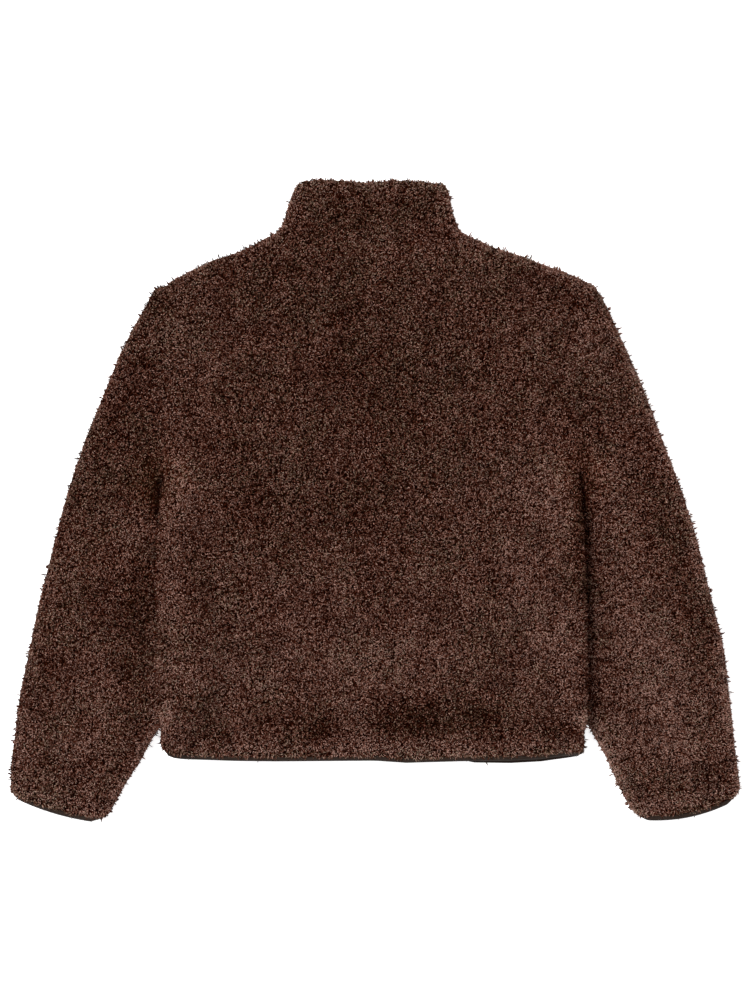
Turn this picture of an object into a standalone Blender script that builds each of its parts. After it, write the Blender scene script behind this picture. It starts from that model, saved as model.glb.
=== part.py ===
"""High-pile fleece jacket, zipped up and laid flat on its front, with the back uppermost.

+X points to the wearer's right, +Y to the collar and +Z up, with the floor at Z = 0. Every plan
table and size is in millimetres. Each piece of cloth is a wall with an outer and an inner
surface: its points are first laid out on the floor plan, then raised, and rounded over at the
folds where the back and the front of the garment meet.
"""

import bpy
import numpy as np

MM = 0.001

# ---- Cloth
WALL = 8.0  # knitted backing and its pile together
HOLLOW = 1.6  # air between the front and the back of the garment
INNER_ROUND = HOLLOW / 2  # radius of a fold's inner surface
OUTER_ROUND = INNER_ROUND + WALL
TOUCH = 0.01  # a point this near a fold lies on it
MIDDLE = OUTER_ROUND  # height of the folds, half way up a flattened tube
LAYERS = 2 * OUTER_ROUND  # height of a flattened tube
SEAM_GAP = 0.3
FOLD_STEPS = (0.0, 1.2, 4.4, OUTER_ROUND)  # grid lines beside a fold, measured from it

# ---- Edges and seams
EDGE_DROP, EDGE_ROUND = 3.6, 7.0  # the pile rounds off towards a free edge
EDGE_STEPS = (0.0, 2.5, EDGE_ROUND)
HOLLOW_FADE = 14.0  # reach from a free edge over which the soft hollows fade in
BAND = WALL - EDGE_DROP  # the elastic binding is as thick at its seam as the cloth's edge
BAND_HEIGHT = 5.5  # depth of the binding below the cloth's edge
BAND_STEPS = (0.0, 2.9, BAND_HEIGHT)
SEAM_DIP, SEAM_DIP_REACH = 2.0, 7.0  # the pile parts over the armhole seam

# ---- Body over the tucked sleeves
LIFT = LAYERS + 0.6  # the body's sides lie on the sleeves
LIFT_LEVEL, LIFT_RAMP = 6.0, 50.0  # it stays level so far past a sleeve, then comes down
LIFT_START = 53.0  # length of side seam below the armpit over which it rises

# ---- Zip at the centre front
CENTRE_X = -1.8
SLOT = 4.5  # from the zip's centre line to the cloth on each side
TAPE_EDGE, TAPE_REACH, TAPE = 3.1, 14.5, 0.7
TAPE_LOW = MIDDLE - INNER_ROUND + SEAM_GAP
CHAIN_HALF, CHAIN_LOW, CHAIN_HIGH = 2.8, 6.4, 9.0
ZIP_FOOT, BOX_LENGTH, BOX_HALF, BOX_LOW, BOX_HIGH = -296.0, 9.0, 3.7, 6.0, 9.2
SLIDER_Y, SLIDER_HALF, SLIDER_LOW, SLIDER_HIGH = 319.0, 5.5, 4.9, 9.3
ARCH_HALF, ARCH_REACH, ARCH_BAR, ARCH_DROP = 0.9, 3.8, 0.9, 2.5
TAB_LENGTH, TAB_HALF, TAB, TAB_RIM = 26.0, 3.1, 1.0, 1.5
HINGE_Z = SLIDER_LOW - 0.8
HINGE_HALF = 0.5  # half the depth of the tab's cross bar
EYE_LENGTH = 5.2


def table(columns, *rows):
    """Rows of numbers as one array for each named column."""
    return dict(zip(columns.split(), np.array(rows, float).T))


# ---- Outline of the body, from the hem (height 0) to the shoulders (height 1)
ARMPIT = 0.572
SIDES = table(
    "height left_x right_x",
    (0.000, -241.0, 238.0),
    (0.020, -245.0, 240.5),
    (0.040, -246.5, 243.0),
    (0.060, -247.0, 244.5),
    (0.110, -247.5, 244.5),
    (0.175, -250.5, 244.0),
    (0.265, -248.5, 243.5),
    (0.345, -251.0, 242.0),
    (0.470, -251.0, 240.0),
    (ARMPIT, -246.0, 237.0),
    (1.000, -240.5, 222.0),
)
HEM = table(
    "x back_y front_y",
    (-241, -286.0, -286.0),
    (-236, -290.0, -289.0),
    (-228, -294.0, -292.5),
    (-213, -297.0, -295.0),
    (-170, -298.5, -296.5),
    (-134, -299.5, -296.5),
    (0, -298.5, -297.0),
    (36, -301.0, -297.5),
    (105, -299.0, -299.0),
    (120, -299.0, -302.0),
    (154, -298.5, -301.5),
    (192, -296.5, -299.5),
    (215, -293.0, -296.0),
    (231, -288.5, -290.5),
    (238, -284.0, -284.0),
)
SHOULDER = table(
    "x y",
    (-240.5, 250.5),
    (-228, 257.5),
    (-211, 266.0),
    (-186, 278.5),
    (-162, 285.5),
    (-145, 292.0),
    (-130, 299.0),
    (-115, 309.0),
    (100, 310.0),
    (109, 304.5),
    (118, 299.0),
    (143, 291.0),
    (176, 280.0),
    (203, 269.0),
    (222, 264.0),
)
NECK_LEFT, NECK_RIGHT = (-115.0, 309.0), (100.0, 310.0)
BACK_NECK_DROP, FRONT_NECK_DROP = 19.0, 76.0

# ---- Outline of the collar, from the neck seam (height 0) to its top edge (height 1)
COLLAR_SIDES = table(
    "height left_x right_x",
    (0.00, -115.0, 100.0),
    (0.14, -108.5, 95.5),
    (0.36, -104.0, 91.5),
    (0.60, -100.5, 88.5),
    (0.80, -97.0, 86.5),
    (1.00, -92.0, 83.5),
)
COLLAR_TOP = table(
    "x y",
    (-92.0, 361.5),
    (-83, 366.0),
    (-65, 369.5),
    (-31, 367.0),
    (-6, 365.5),
    (19, 368.0),
    (45, 367.5),
    (63, 365.5),
    (76, 362.5),
    (83.5, 359.5),
)
COLLAR_FRONT_DROP = 32.0  # the closed collar's front edge lies lower than its back edge
COLLAR_HEIGHTS = (0.0, 0.12, 0.36, 0.60, 0.80)  # grid lines below the rounded top edge

# ---- Sleeves: one row for each section, from the shoulder to the cuff. Each section runs from
# the outer fold to the inner one, and bows towards the cuff. The armhole comes before the first
# row, and the last row is where the binding starts.
SLEEVE_LEFT = table(
    "outer_x outer_y inner_x inner_y bow",
    (-255.5, 243.0, -247.4, 11.0, 0),
    (-263.5, 227.5, -247.2, -1.0, 0),
    (-278.5, 200.0, -246.5, -13.0, 0),
    (-294.0, 170.0, -246.0, -27.0, 0),
    (-313.0, 123.0, -245.0, -48.0, 0),
    (-332.5, 76.0, -239.5, -75.0, 0),
    (-353.0, 16.0, -229.0, -108.0, 0),
    (-367.0, -36.0, -217.5, -143.0, 0),
    (-383.0, -94.0, -210.5, -174.0, 0),
    (-397.0, -163.0, -210.5, -204.0, 1),
    (-409.5, -223.0, -221.0, -232.0, 2),
    (-413.5, -254.0, -236.0, -247.0, 3),
    (-417.5, -284.0, -249.5, -264.0, 4),
    (-420.3, -306.0, -266.5, -295.0, 5),
    (-420.3, -322.0, -285.5, -325.0, 6),
    (-420.0, -332.0, -306.5, -359.0, 6),
)
SLEEVE_RIGHT = table(
    "outer_x outer_y inner_x inner_y bow",
    (237.0, 256.0, 238.1, 20.0, 0),
    (253.0, 248.5, 237.6, 8.0, 0),
    (268.0, 223.0, 236.6, -4.0, 0),
    (283.0, 189.0, 236.2, -16.0, 0),
    (300.0, 152.0, 236.0, -28.0, 0),
    (315.0, 115.0, 233.5, -60.0, 0),
    (330.0, 73.5, 226.0, -98.0, 0),
    (353.5, 13.0, 214.0, -136.0, 0),
    (371.5, -45.0, 207.0, -172.0, 0),
    (387.5, -107.0, 207.0, -203.0, 1),
    (403.0, -174.0, 217.0, -231.0, 2),
    (408.5, -225.0, 232.0, -247.0, 4),
    (413.0, -264.0, 245.0, -260.0, 6),
    (417.0, -299.0, 263.0, -292.0, 9),
    (420.3, -327.0, 278.5, -327.0, 12),
    (419.8, -334.0, 291.5, -354.0, 12),
)
CUFF = table(
    "outer_x outer_y inner_x inner_y bow",
    (-418.5, -339.0, -314.0, -370.0, 5),
    (417.5, -340.5, 298.5, -363.5, 12),
)

# ---- Soft hollows in the lying pile: centre, half length and half width, turn and depth
HOLLOWS = table(
    "x y length width degrees depth",
    (-205, 60, 90, 22, 62, 2.2),
    (196, 66, 95, 24, 118, 2.4),
    (-330, -60, 70, 26, 35, 2.2),
    (330, -75, 75, 26, 145, 2.2),
    (-150, -262, 60, 20, 12, 2.0),
    (-20, -255, 75, 22, -6, 2.0),
    (110, -262, 60, 20, 8, 1.8),
    (-4, 296, 80, 16, 0, 2.0),
    (-352, -270, 50, 22, 20, 1.8),
    (350, -262, 55, 22, 160, 1.8),
)

# ---- Colours (linear) and finish
FLEECE = (0.052, 0.021, 0.014, 1.0)
BINDING = (0.034, 0.024, 0.023, 1.0)
TAPE_COLOUR = (0.028, 0.017, 0.014, 1.0)
CHAIN_COLOUR = (0.032, 0.022, 0.019, 1.0)
METAL_COLOUR = (0.060, 0.045, 0.040, 1.0)


def smooth(amount):
    """0 to 1 with level ends, for an amount that runs from 0 to 1."""
    held = np.clip(amount, 0.0, 1.0)
    return held * held * (3.0 - 2.0 * held)


def blend(low, high, share):
    return low + (high - low) * share


def spaced(low, high, count):
    """count values between low and high, without either of them."""
    return list(np.linspace(low, high, count + 2)[1:-1])


def line(*columns):
    """Plan points from one array for each axis."""
    return np.stack([np.asarray(c, float) for c in columns], axis=-1)


def to_lines(points, lines):
    """From each plan point to each stretch of some lines: the stretches, the ways from their
    nearest places to the point, and the distances."""
    starts = np.concatenate([path[:-1] for path in lines])
    runs = np.concatenate([path[1:] - path[:-1] for path in lines])
    along = ((points[:, None] - starts) * runs).sum(2) / (runs**2).sum(1)
    away = points[:, None] - starts - np.clip(along, 0.0, 1.0)[..., None] * runs
    return runs, away, np.hypot(away[..., 0], away[..., 1])


def distance(points, *lines):
    """Distance of each plan point from the nearest of some lines."""
    return to_lines(points, lines)[2].min(axis=1)


def from_folds(points, folds, inward):
    """Distance of each plan point from the nearest fold, and the unit way from it into the cloth.
    On a fold that is the way square to it, and at its bends the mean of both stretches' ways."""
    runs, away, gaps = to_lines(points, folds)
    gap = gaps.min(axis=1)
    across = line(-runs[:, 1], runs[:, 0]) / np.hypot(runs[:, 0], runs[:, 1])[:, None]
    turned = across * np.where((across * inward[:, None]).sum(2) < 0.0, -1.0, 1.0)[..., None]
    square = (turned * (gaps < gap[:, None] + TOUCH)[..., None]).sum(1)
    square /= np.hypot(square[:, 0], square[:, 1])[:, None]
    straight = away[np.arange(len(points)), gaps.argmin(axis=1)]
    straight = straight / np.maximum(gap, TOUCH)[:, None]
    return gap, np.where(gap[:, None] < TOUCH, square, straight)


def inside(points, ring):
    """Which plan points lie within a closed ring of points, by counting the sides to their right."""
    x0, y0 = ring.T
    x1, y1 = np.roll(ring, -1, axis=0).T
    x, y = points[:, :1], points[:, 1:]
    spans = (y0 > y) != (y1 > y)
    slope = (x1 - x0) / np.where(y1 == y0, 1.0, y1 - y0)
    return ((x < x0 + slope * (y - y0)) & spans).sum(1) % 2 == 1


def rounding(gap):
    """How far the pile is drawn in near a free edge: a quarter circle, stretched to its drop."""
    reach = 1.0 - np.clip(gap / EDGE_ROUND, 0.0, 1.0)
    return EDGE_DROP * (1.0 - np.sqrt(1.0 - reach**2))


def hollows(points):
    """Depth of the soft hollows: each is a bell over an ellipse on the plan."""
    depth = np.zeros(len(points))
    for k in range(len(HOLLOWS["x"])):
        turn = np.radians(HOLLOWS["degrees"][k])
        x, y = points[:, 0] - HOLLOWS["x"][k], points[:, 1] - HOLLOWS["y"][k]
        along = (x * np.cos(turn) + y * np.sin(turn)) / HOLLOWS["length"][k]
        across = (y * np.cos(turn) - x * np.sin(turn)) / HOLLOWS["width"][k]
        depth += HOLLOWS["depth"][k] * np.exp(-(along**2) - across**2)
    return depth


def wall(points, edge, dipped=True):
    """Thickness of the pile cloth. It rounds off towards a free edge, and the hollows end there."""
    gap = distance(points, edge)
    dips = hollows(points) * smooth(gap / HOLLOW_FADE) if dipped else 0.0
    return WALL - rounding(gap) - dips


# ---- Plan of the sleeves, and how far the body is lifted by them


def sleeve_lines(rows, cuff, armhole):
    """Outer and inner fold of a sleeve, from the armhole to the end of its binding."""
    outer = line(
        np.r_[armhole[0][0], rows["outer_x"], CUFF["outer_x"][cuff]],
        np.r_[armhole[0][1], rows["outer_y"], CUFF["outer_y"][cuff]],
    )
    inner = line(
        np.r_[armhole[1][0], rows["inner_x"], CUFF["inner_x"][cuff]],
        np.r_[armhole[1][1], rows["inner_y"], CUFF["inner_y"][cuff]],
    )
    return outer, inner


def side_point(height, side):
    """Plan point on the body's left (0) or right (1) edge."""
    low = HEM["back_y"][-side] + BAND_HEIGHT
    y = blend(low, SHOULDER["y"][-side], height)
    x = np.interp(height, SIDES["height"], SIDES[("left_x", "right_x")[side]])
    return float(x), float(y)


ARMHOLE = [(side_point(1.0, side), side_point(ARMPIT, side)) for side in (0, 1)]
LEFT_FOLDS = sleeve_lines(SLEEVE_LEFT, 0, ARMHOLE[0])
RIGHT_FOLDS = sleeve_lines(SLEEVE_RIGHT, 1, ARMHOLE[1])


def lift(points):
    """Height of the body above where it lies in the middle. It is raised over each sleeve, comes
    down past the sleeve's inner fold, and starts from nothing at the armpit."""
    height = np.zeros(len(points))
    for (outer, inner), (_, armpit) in zip((LEFT_FOLDS, RIGHT_FOLDS), ARMHOLE):
        gap = distance(points, inner)
        gap[inside(points, np.concatenate([outer, inner[::-1]]))] = 0.0
        down = 1.0 - smooth((gap - LIFT_LEVEL) / LIFT_RAMP)
        risen = smooth((armpit[1] - points[:, 1]) / LIFT_START)
        height = np.maximum(height, LIFT * down * risen)
    return height


# ---- Plan of the body


def fold_lines():
    """Folds of the body and the collar: side seams, then shoulders with the collar's sides."""
    heights = np.r_[-0.03, SIDES["height"][:-1]]
    sides = [line(*np.array([side_point(h, side) for h in heights]).T) for side in (0, 1)]
    sides[0][0, 0], sides[1][0, 0] = sides[0][1, 0], sides[1][1, 0]
    neck = len(SHOULDER["x"]) // 2
    shoulder = line(SHOULDER["x"], SHOULDER["y"])
    collar = [collar_side(side) for side in (0, 1)]
    left = np.concatenate([LEFT_FOLDS[0][2:0:-1], shoulder[: neck + 1], collar[0][1:]])
    right = np.concatenate([RIGHT_FOLDS[0][2:0:-1], shoulder[:neck:-1], collar[1][1:]])
    return [sides[0], sides[1], left, right]


def collar_side(side):
    """The collar's side fold, drawn on a little past its top edge."""
    base = (NECK_LEFT, NECK_RIGHT)[side][1]
    heights = np.r_[COLLAR_SIDES["height"], 1.05]
    x = np.interp(heights, COLLAR_SIDES["height"], COLLAR_SIDES[("left_x", "right_x")[side]])
    return line(x, blend(base, COLLAR_TOP["y"][-side], heights))


def neck_line(x, drop, end_x):
    """Height on the plan of the neck seam. On the back (end_x None) it is a shallow bow, and on a
    front a quarter of a wave from the neck point down to the zip."""
    if end_x is None:
        share = (x - NECK_LEFT[0]) / (NECK_RIGHT[0] - NECK_LEFT[0])
        return blend(NECK_LEFT[1], NECK_RIGHT[1], share) - drop * 4.0 * share * (1.0 - share)
    start = NECK_LEFT if end_x < CENTRE_X else NECK_RIGHT
    share = (x - start[0]) / (end_x - start[0])
    return start[1] - drop * np.sin(share * np.pi / 2.0)


def top_line(x, drop, end_x):
    """Height on the plan of the body's upper edge: shoulders with the neck between them."""
    within = (x >= NECK_LEFT[0]) & (x <= NECK_RIGHT[0])
    return np.where(within, neck_line(x, drop, end_x), np.interp(x, SHOULDER["x"], SHOULDER["y"]))


NEAR_SIDE = (*FOLD_STEPS, 24.0, 42.0, 62.0, 86.0)  # grid lines from the body's side inwards


def neck_steps(start, end, count, both):
    """Grid lines of the neck seam: close together beside a fold, even between."""
    way = np.sign(end - start)
    first = [start + way * step for step in FOLD_STEPS]
    last = [end - way * step for step in FOLD_STEPS[::-1]] if both else [end]
    return np.array(first + spaced(first[-1], last[0], count) + last)


BACK_NECK = neck_steps(NECK_LEFT[0], NECK_RIGHT[0], 4, True)
FRONT_NECK = [neck_steps(NECK_LEFT[0], CENTRE_X - SLOT, 3, False)]
FRONT_NECK.append(neck_steps(NECK_RIGHT[0], CENTRE_X + SLOT, 3, False))


def across_body(height, which):
    """Grid lines across one row of the body, for the back, the left front or the right front."""
    left = np.interp(height, SIDES["height"], SIDES["left_x"])
    right = np.interp(height, SIDES["height"], SIDES["right_x"])
    inner = NEAR_SIDE[-1]
    top = (SIDES["left_x"][-1] + inner, SIDES["right_x"][-1] - inner)
    if which == "back":
        share = (BACK_NECK - top[0]) / (top[1] - top[0])
        near, far = left + inner, right - inner
        ends = (left + np.array(NEAR_SIDE), (right - np.array(NEAR_SIDE))[::-1])
        return np.concatenate([ends[0], blend(near, far, share), ends[1]])
    side = ("left", "right").index(which)
    edge, way = ((left, 1.0), (right, -1.0))[side]
    zip_x = CENTRE_X - way * SLOT
    share = (FRONT_NECK[side] - top[side]) / (zip_x - top[side])
    return np.r_[edge + way * np.array(NEAR_SIDE), blend(edge + way * inner, zip_x, share)]


LOWER_ROWS = (0.04, 0.10, 0.175, 0.265, 0.345, 0.41, 0.47, 0.505, 0.54, ARMPIT)
UPPER_STEPS = [step / np.cos(np.radians(24.0)) for step in FOLD_STEPS]


def body_plan(which):
    """Plan points of a body panel, as rows from the hem up and columns from its side seam. Every
    column runs straight from the hem to the upper edge; rows crowd at the edges and the armpit."""
    zip_x = {"back": None, "left": CENTRE_X - SLOT, "right": CENTRE_X + SLOT}[which]
    drop = BACK_NECK_DROP if which == "back" else FRONT_NECK_DROP
    hem = HEM["back_y" if which == "back" else "front_y"]
    low = np.interp(across_body(0.0, which), HEM["x"], hem) + BAND_HEIGHT
    high = top_line(across_body(1.0, which), drop, zip_x)
    rows = [low + step for step in EDGE_STEPS]
    rows += [blend(low, high, height) for height in LOWER_ROWS]
    rows += [blend(low, high, ARMPIT) + step for step in FOLD_STEPS[1:]]
    rest = high - UPPER_STEPS[-1]
    rows += [blend(rows[-1], rest, share) for share in spaced(0.0, 1.0, 4)]
    rows += [high - step for step in UPPER_STEPS[::-1]]
    heights = [(y - low) / (high - low) for y in rows]
    x = np.array([[across_body(h, which)[j] for j, h in enumerate(row)] for row in heights])
    return line(x, np.array(rows))


def collar_plan(which):
    """Plan points of the collar's back or of one front half, as rows from the neck seam up and
    columns from the side fold."""
    base_x = BACK_NECK if which == "back" else FRONT_NECK[which == "right"]
    zip_x = {"back": None, "left": CENTRE_X - SLOT, "right": CENTRE_X + SLOT}[which]
    drop = BACK_NECK_DROP if which == "back" else FRONT_NECK_DROP
    base_y = neck_line(base_x, drop, zip_x)
    left, right = COLLAR_SIDES["left_x"], COLLAR_SIDES["right_x"]
    start, end = (NECK_LEFT[0], NECK_RIGHT[0]) if which != "right" else (NECK_RIGHT[0], zip_x)
    end = zip_x if which == "left" else end
    share = (base_x - start) / (end - start)

    def across(height):
        edges = [np.interp(height, COLLAR_SIDES["height"], side) for side in (left, right)]
        near = edges[which == "right"]
        far = edges[1] if which == "back" else zip_x
        way = np.sign(end - start)
        even = blend(near, far, share)
        even[: len(FOLD_STEPS)] = near + way * np.array(FOLD_STEPS)
        if which == "back":
            even[-len(FOLD_STEPS) :] = (far - np.array(FOLD_STEPS))[::-1]
        return even

    if which == "back":
        top_y = np.interp(across(1.0), COLLAR_TOP["x"], COLLAR_TOP["y"])
    else:
        corner = COLLAR_TOP["y"][0 if which == "left" else -1]
        top_y = corner - COLLAR_FRONT_DROP * np.sin(share * np.pi / 2.0)
    rows = [blend(base_y, top_y, height) for height in COLLAR_HEIGHTS]
    rows += [top_y - step for step in EDGE_STEPS[::-1]]
    heights = [(y - base_y) / (top_y - base_y) for y in rows]
    x = np.array([[across(h)[j] for j, h in enumerate(row)] for row in heights])
    return line(x, np.array(rows))


# ---- Raising plan points into cloth

BODY_FOLDS = fold_lines()
BODY_CENTRE = np.array([CENTRE_X, -30.0])
COLLAR_CENTRE = np.array([CENTRE_X, 335.0])
UP, DOWN = (0.0, 1.0), (0.0, -1.0)


def raised(plan, side, folds, inward, depth, joined, lifted=True):
    """Outer and inner surface of one layer over its plan points. side is +1 for the upper layer
    and -1 for the lower. depth is the wall's thickness at each point. Within a wall's thickness
    of a fold, the surfaces turn down a quarter circle round the fold's centre. Layers that are
    not joined keep a seam's gap there."""
    shape = plan.shape[:-1]
    points = plan.reshape(-1, 2)
    gap, way = from_folds(points, folds, inward)
    level = np.clip(1.0 - gap / OUTER_ROUND, 0.0, 1.0)
    upright = np.sqrt(1.0 - level**2)
    seam = 0.0 if joined else SEAM_GAP / 2.0
    low = seam + (INNER_ROUND - seam) * upright
    inner_plan = points + way * (WALL * level)[:, None]
    outer_plan = inner_plan - way * (depth * level)[:, None]
    base = MIDDLE + (lift(points) if lifted else 0.0)
    inner = np.column_stack([inner_plan, base + side * low])
    outer = np.column_stack([outer_plan, base + side * (low + depth * upright)])
    return [outer.reshape(*shape, 3), inner.reshape(*shape, 3)]


def towards(plan, centre):
    return centre - plan.reshape(-1, 2)


def seam_dip(gap):
    """How far the pile parts at a distance from the armhole seam."""
    return SEAM_DIP * np.clip(1.0 - gap / SEAM_DIP_REACH, 0.0, 1.0) ** 2


def body_depth(plan, edge, dips):
    """Wall of a body panel: thinner at its hem, over the armhole seams and in the hollows."""
    points = plan.reshape(-1, 2)
    seam = distance(points, np.array(ARMHOLE[0]), np.array(ARMHOLE[1]))
    return wall(points, edge, dips) - seam_dip(seam)


def body_panel(which):
    """Outer and inner grids of a body panel."""
    plan = body_plan(which)
    side = 1 if which == "back" else -1
    depth = body_depth(plan, plan[0], side > 0)
    return raised(plan, side, BODY_FOLDS, towards(plan, BODY_CENTRE), depth, joined=False)


def parted(grids, row, way):
    """The grids with their first row moved off its seam, square to the row's own plan line and to
    the side that way points to."""
    run = np.gradient(row, axis=0)
    square = line(-run[:, 1], run[:, 0]) / np.hypot(run[:, 0], run[:, 1])[:, None]
    shift = SEAM_GAP * square * np.sign(square @ way)[:, None]
    for grid in grids:
        grid[0, :, :2] += shift
    return grids


def wrapped(plans, depths, centre, way):
    """Outer and inner grids of a piece that runs from the zip round a side fold, across the back
    and round the other side to the zip. Its front halves share their fold column with the back."""
    outers, inners = [], []
    for which, plan, depth in zip(("left", "back", "right"), plans, depths):
        side = 1 if which == "back" else -1
        inward = towards(plan, centre)
        grids = raised(plan, side, BODY_FOLDS, inward, depth, joined=True)
        outer, inner = parted(grids, plan[0], way)
        if which == "left":
            outer, inner = outer[:, :0:-1], inner[:, :0:-1]
        if which == "right":
            outer, inner = outer[:, 1:], inner[:, 1:]
        outers.append(outer)
        inners.append(inner)
    return [np.concatenate(outers, axis=1), np.concatenate(inners, axis=1)]


def collar_grids():
    plans = [collar_plan(which) for which in ("left", "back", "right")]
    depths = []
    for which, plan in zip(("left", "back", "right"), plans):
        depths.append(wall(plan.reshape(-1, 2), plan[-1], which == "back"))
    return wrapped(plans, depths, COLLAR_CENTRE, UP)


def hem_band_grids():
    """The binding goes on below the panels' columns, thinner at its lower fold."""
    plans = []
    for which in ("left", "back", "right"):
        edge = body_plan(which)[0]
        plans.append(np.stack([edge - (0.0, step) for step in BAND_STEPS]))
    depths = [band_depths(plan) for plan in plans]
    return wrapped(plans, depths, BODY_CENTRE, DOWN)


def band_depths(plan):
    """Thickness of a binding: full at its seam and half at its folded edge."""
    rows, columns = plan.shape[:2]
    share = np.linspace(0.0, 1.0, rows) ** 2
    return np.repeat(BAND * (1.0 - 0.35 * share), columns)


def sleeve_sections(rows, folds):
    """Plan points of a sleeve's sections, each from its outer to its inner fold. Grid lines keep
    their distance from a fold, so they spread out where a section meets it at a slant."""
    outer = line(rows["outer_x"], rows["outer_y"])
    inner = line(rows["inner_x"], rows["inner_y"])
    count = len(outer)
    plans = []
    for k in range(count):
        chord = inner[k] - outer[k]
        width = np.hypot(*chord)
        slants = []
        for fold in folds:
            run = fold[k + 2] - fold[k]
            slants.append(abs(run[0] * chord[1] - run[1] * chord[0]) / (np.hypot(*run) * width))
        first = np.array(FOLD_STEPS) / max(slants[0], 0.45)
        last = width - np.array(FOLD_STEPS[::-1]) / max(slants[1], 0.45)
        stations = np.r_[first, spaced(first[-1], last[0], 4), last] / width
        bow = rows["bow"][k] * 4.0 * stations * (1.0 - stations)
        down = np.array([chord[1], -chord[0]]) / width
        down *= np.sign(down @ (0.0, -1.0))
        plans.append(outer[k] + stations[:, None] * chord + bow[:, None] * down)
    return np.array(plans)


def tube(plan, folds, depth, way):
    """Outer and inner grids of a flattened tube: along the upper layer from the outer fold to the
    inner one and back along the lower layer, which shares both fold columns."""
    middle = plan[:, plan.shape[1] // 2, None]
    inward = (middle - plan).reshape(-1, 2)
    upper = parted(raised(plan, 1, folds, inward, depth, True, False), plan[0], way)
    lower = parted(raised(plan, -1, folds, inward, depth, True, False), plan[0], way)
    return [np.concatenate([up, down[:, -2:0:-1]], axis=1) for up, down in zip(upper, lower)]


def extended(fold):
    """A fold drawn on a little past its last point."""
    return np.vstack([fold, 2.0 * fold[-1] - fold[-2]])


def sleeve_folds(side):
    """Folds of one sleeve, with the shoulder that its outer fold goes on from."""
    outer, inner = (LEFT_FOLDS, RIGHT_FOLDS)[side]
    shoulder = line(SHOULDER["x"], SHOULDER["y"])
    start = shoulder[3:0:-1] if side == 0 else shoulder[-4:-1]
    return [np.concatenate([start, extended(outer)]), extended(inner)]


def sleeve_plan(side):
    """Plan of a sleeve: the armhole's own points, then each section."""
    rows = (SLEEVE_LEFT, SLEEVE_RIGHT)[side]
    panel = body_plan("back")
    first = len(EDGE_STEPS) + len(LOWER_ROWS) - 1
    armhole = panel[first:, -side][::-1]
    sections = sleeve_sections(rows, (LEFT_FOLDS, RIGHT_FOLDS)[side])
    return np.concatenate([armhole[None], sections])


def sleeve_grids(side):
    plan = sleeve_plan(side)
    points = plan.reshape(-1, 2)
    depth = wall(points, plan[-1]) - seam_dip(distance(points, plan[0]))
    return tube(plan, sleeve_folds(side), depth, (2 * side - 1, 0.0))


def cuff_grids(side):
    """The cuff's binding goes on from the sleeve's last section to the cuff's edge."""
    last = sleeve_plan(side)[-1]
    ends = {name: CUFF[name][side : side + 1] for name in CUFF}
    folds = (LEFT_FOLDS, RIGHT_FOLDS)[side]
    edge = sleeve_sections(ends, [fold[-3:] for fold in folds])[0]
    plan = last + np.array([0.0, 0.5, 1.0])[:, None, None] * (edge - last)
    return tube(plan, sleeve_folds(side), band_depths(plan), DOWN)


# ---- Objects


def material(name, colour, roughness, metallic=0.0):
    made = bpy.data.materials.new(name)
    made.use_nodes = True
    shader = made.node_tree.nodes["Principled BSDF"]
    shader.inputs["Base Color"].default_value = colour
    shader.inputs["Roughness"].default_value = roughness
    shader.inputs["Metallic"].default_value = metallic
    return made


def volume(points, faces):
    """Six times the volume that faces enclose, below nothing if they point inwards."""
    total = 0.0
    for face in faces:
        rest = points[face[1:]]
        total += (np.cross(rest[:-1], rest[1:]) @ points[face[0]]).sum()
    return total


def add(name, points, faces, finish):
    """An object from points in millimetres, with its faces turned outwards."""
    if volume(points, faces) < 0.0:
        faces = [face[::-1] for face in faces]
    mesh = bpy.data.meshes.new(name)
    mesh.from_pydata((points * MM).tolist(), [], faces)
    mesh.materials.append(finish)
    made = bpy.data.objects.new(name, mesh)
    bpy.context.scene.collection.objects.link(made)
    return made


def halved(quads, first):
    """Two triangles for each quad, cut from its first corner to its third where first holds and
    from its second corner to its fourth elsewhere."""
    a, b, c, d = quads.T
    ends = np.where(first[:, None], line(a, b, c, a, c, d), line(a, b, d, b, c, d))
    return ends.astype(int).reshape(-1, 3)


def strip(near, far):
    """Quads between two equal lines of corners."""
    return np.stack([near[:-1], near[1:], far[1:], far[:-1]], axis=-1)


def surface(points, index):
    """Triangles of a grid of corners, each quad cut along its shorter diagonal."""
    quads = np.concatenate([strip(low, high) for low, high in zip(index[:-1], index[1:])])
    a, b, c, d = points[quads.T]
    return halved(quads, np.linalg.norm(a - c, axis=1) <= np.linalg.norm(b - d, axis=1))


def rim(points, outer, inner):
    """Triangles between a wall's outer and inner edge. Each quad is cut from the outer corner where
    the wall stands taller, so that the two sides of a seam have the same facets."""
    tall = np.abs(points[outer, 2] - points[inner, 2])
    return halved(strip(outer, inner), tall[1:] <= tall[:-1] + TOUCH)


def cloth(name, grids, finish, closed=False):
    """A wall between an outer and an inner grid, closed along its edges. With closed, the columns
    run all round a tube."""
    rows, columns = grids[0].shape[:2]
    points = np.concatenate([grid.reshape(-1, 3) for grid in grids])
    index = np.arange(2 * rows * columns).reshape(2, rows, columns)
    if closed:
        index = np.concatenate([index, index[:, :, :1]], axis=2)
    outer, inner = index
    faces = [surface(points, outer), surface(points, inner)[:, ::-1]]
    faces += [rim(points, outer[0], inner[0])[:, ::-1], rim(points, outer[-1], inner[-1])]
    if not closed:
        faces.append(rim(points, outer[:, 0], inner[:, 0]))
        faces.append(rim(points, outer[:, -1], inner[:, -1])[:, ::-1])
    made = add(name, points, np.concatenate(faces).tolist(), finish)
    made.data.shade_smooth()
    made.data.set_sharp_from_angle(angle=np.radians(50.0))
    return made


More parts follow.
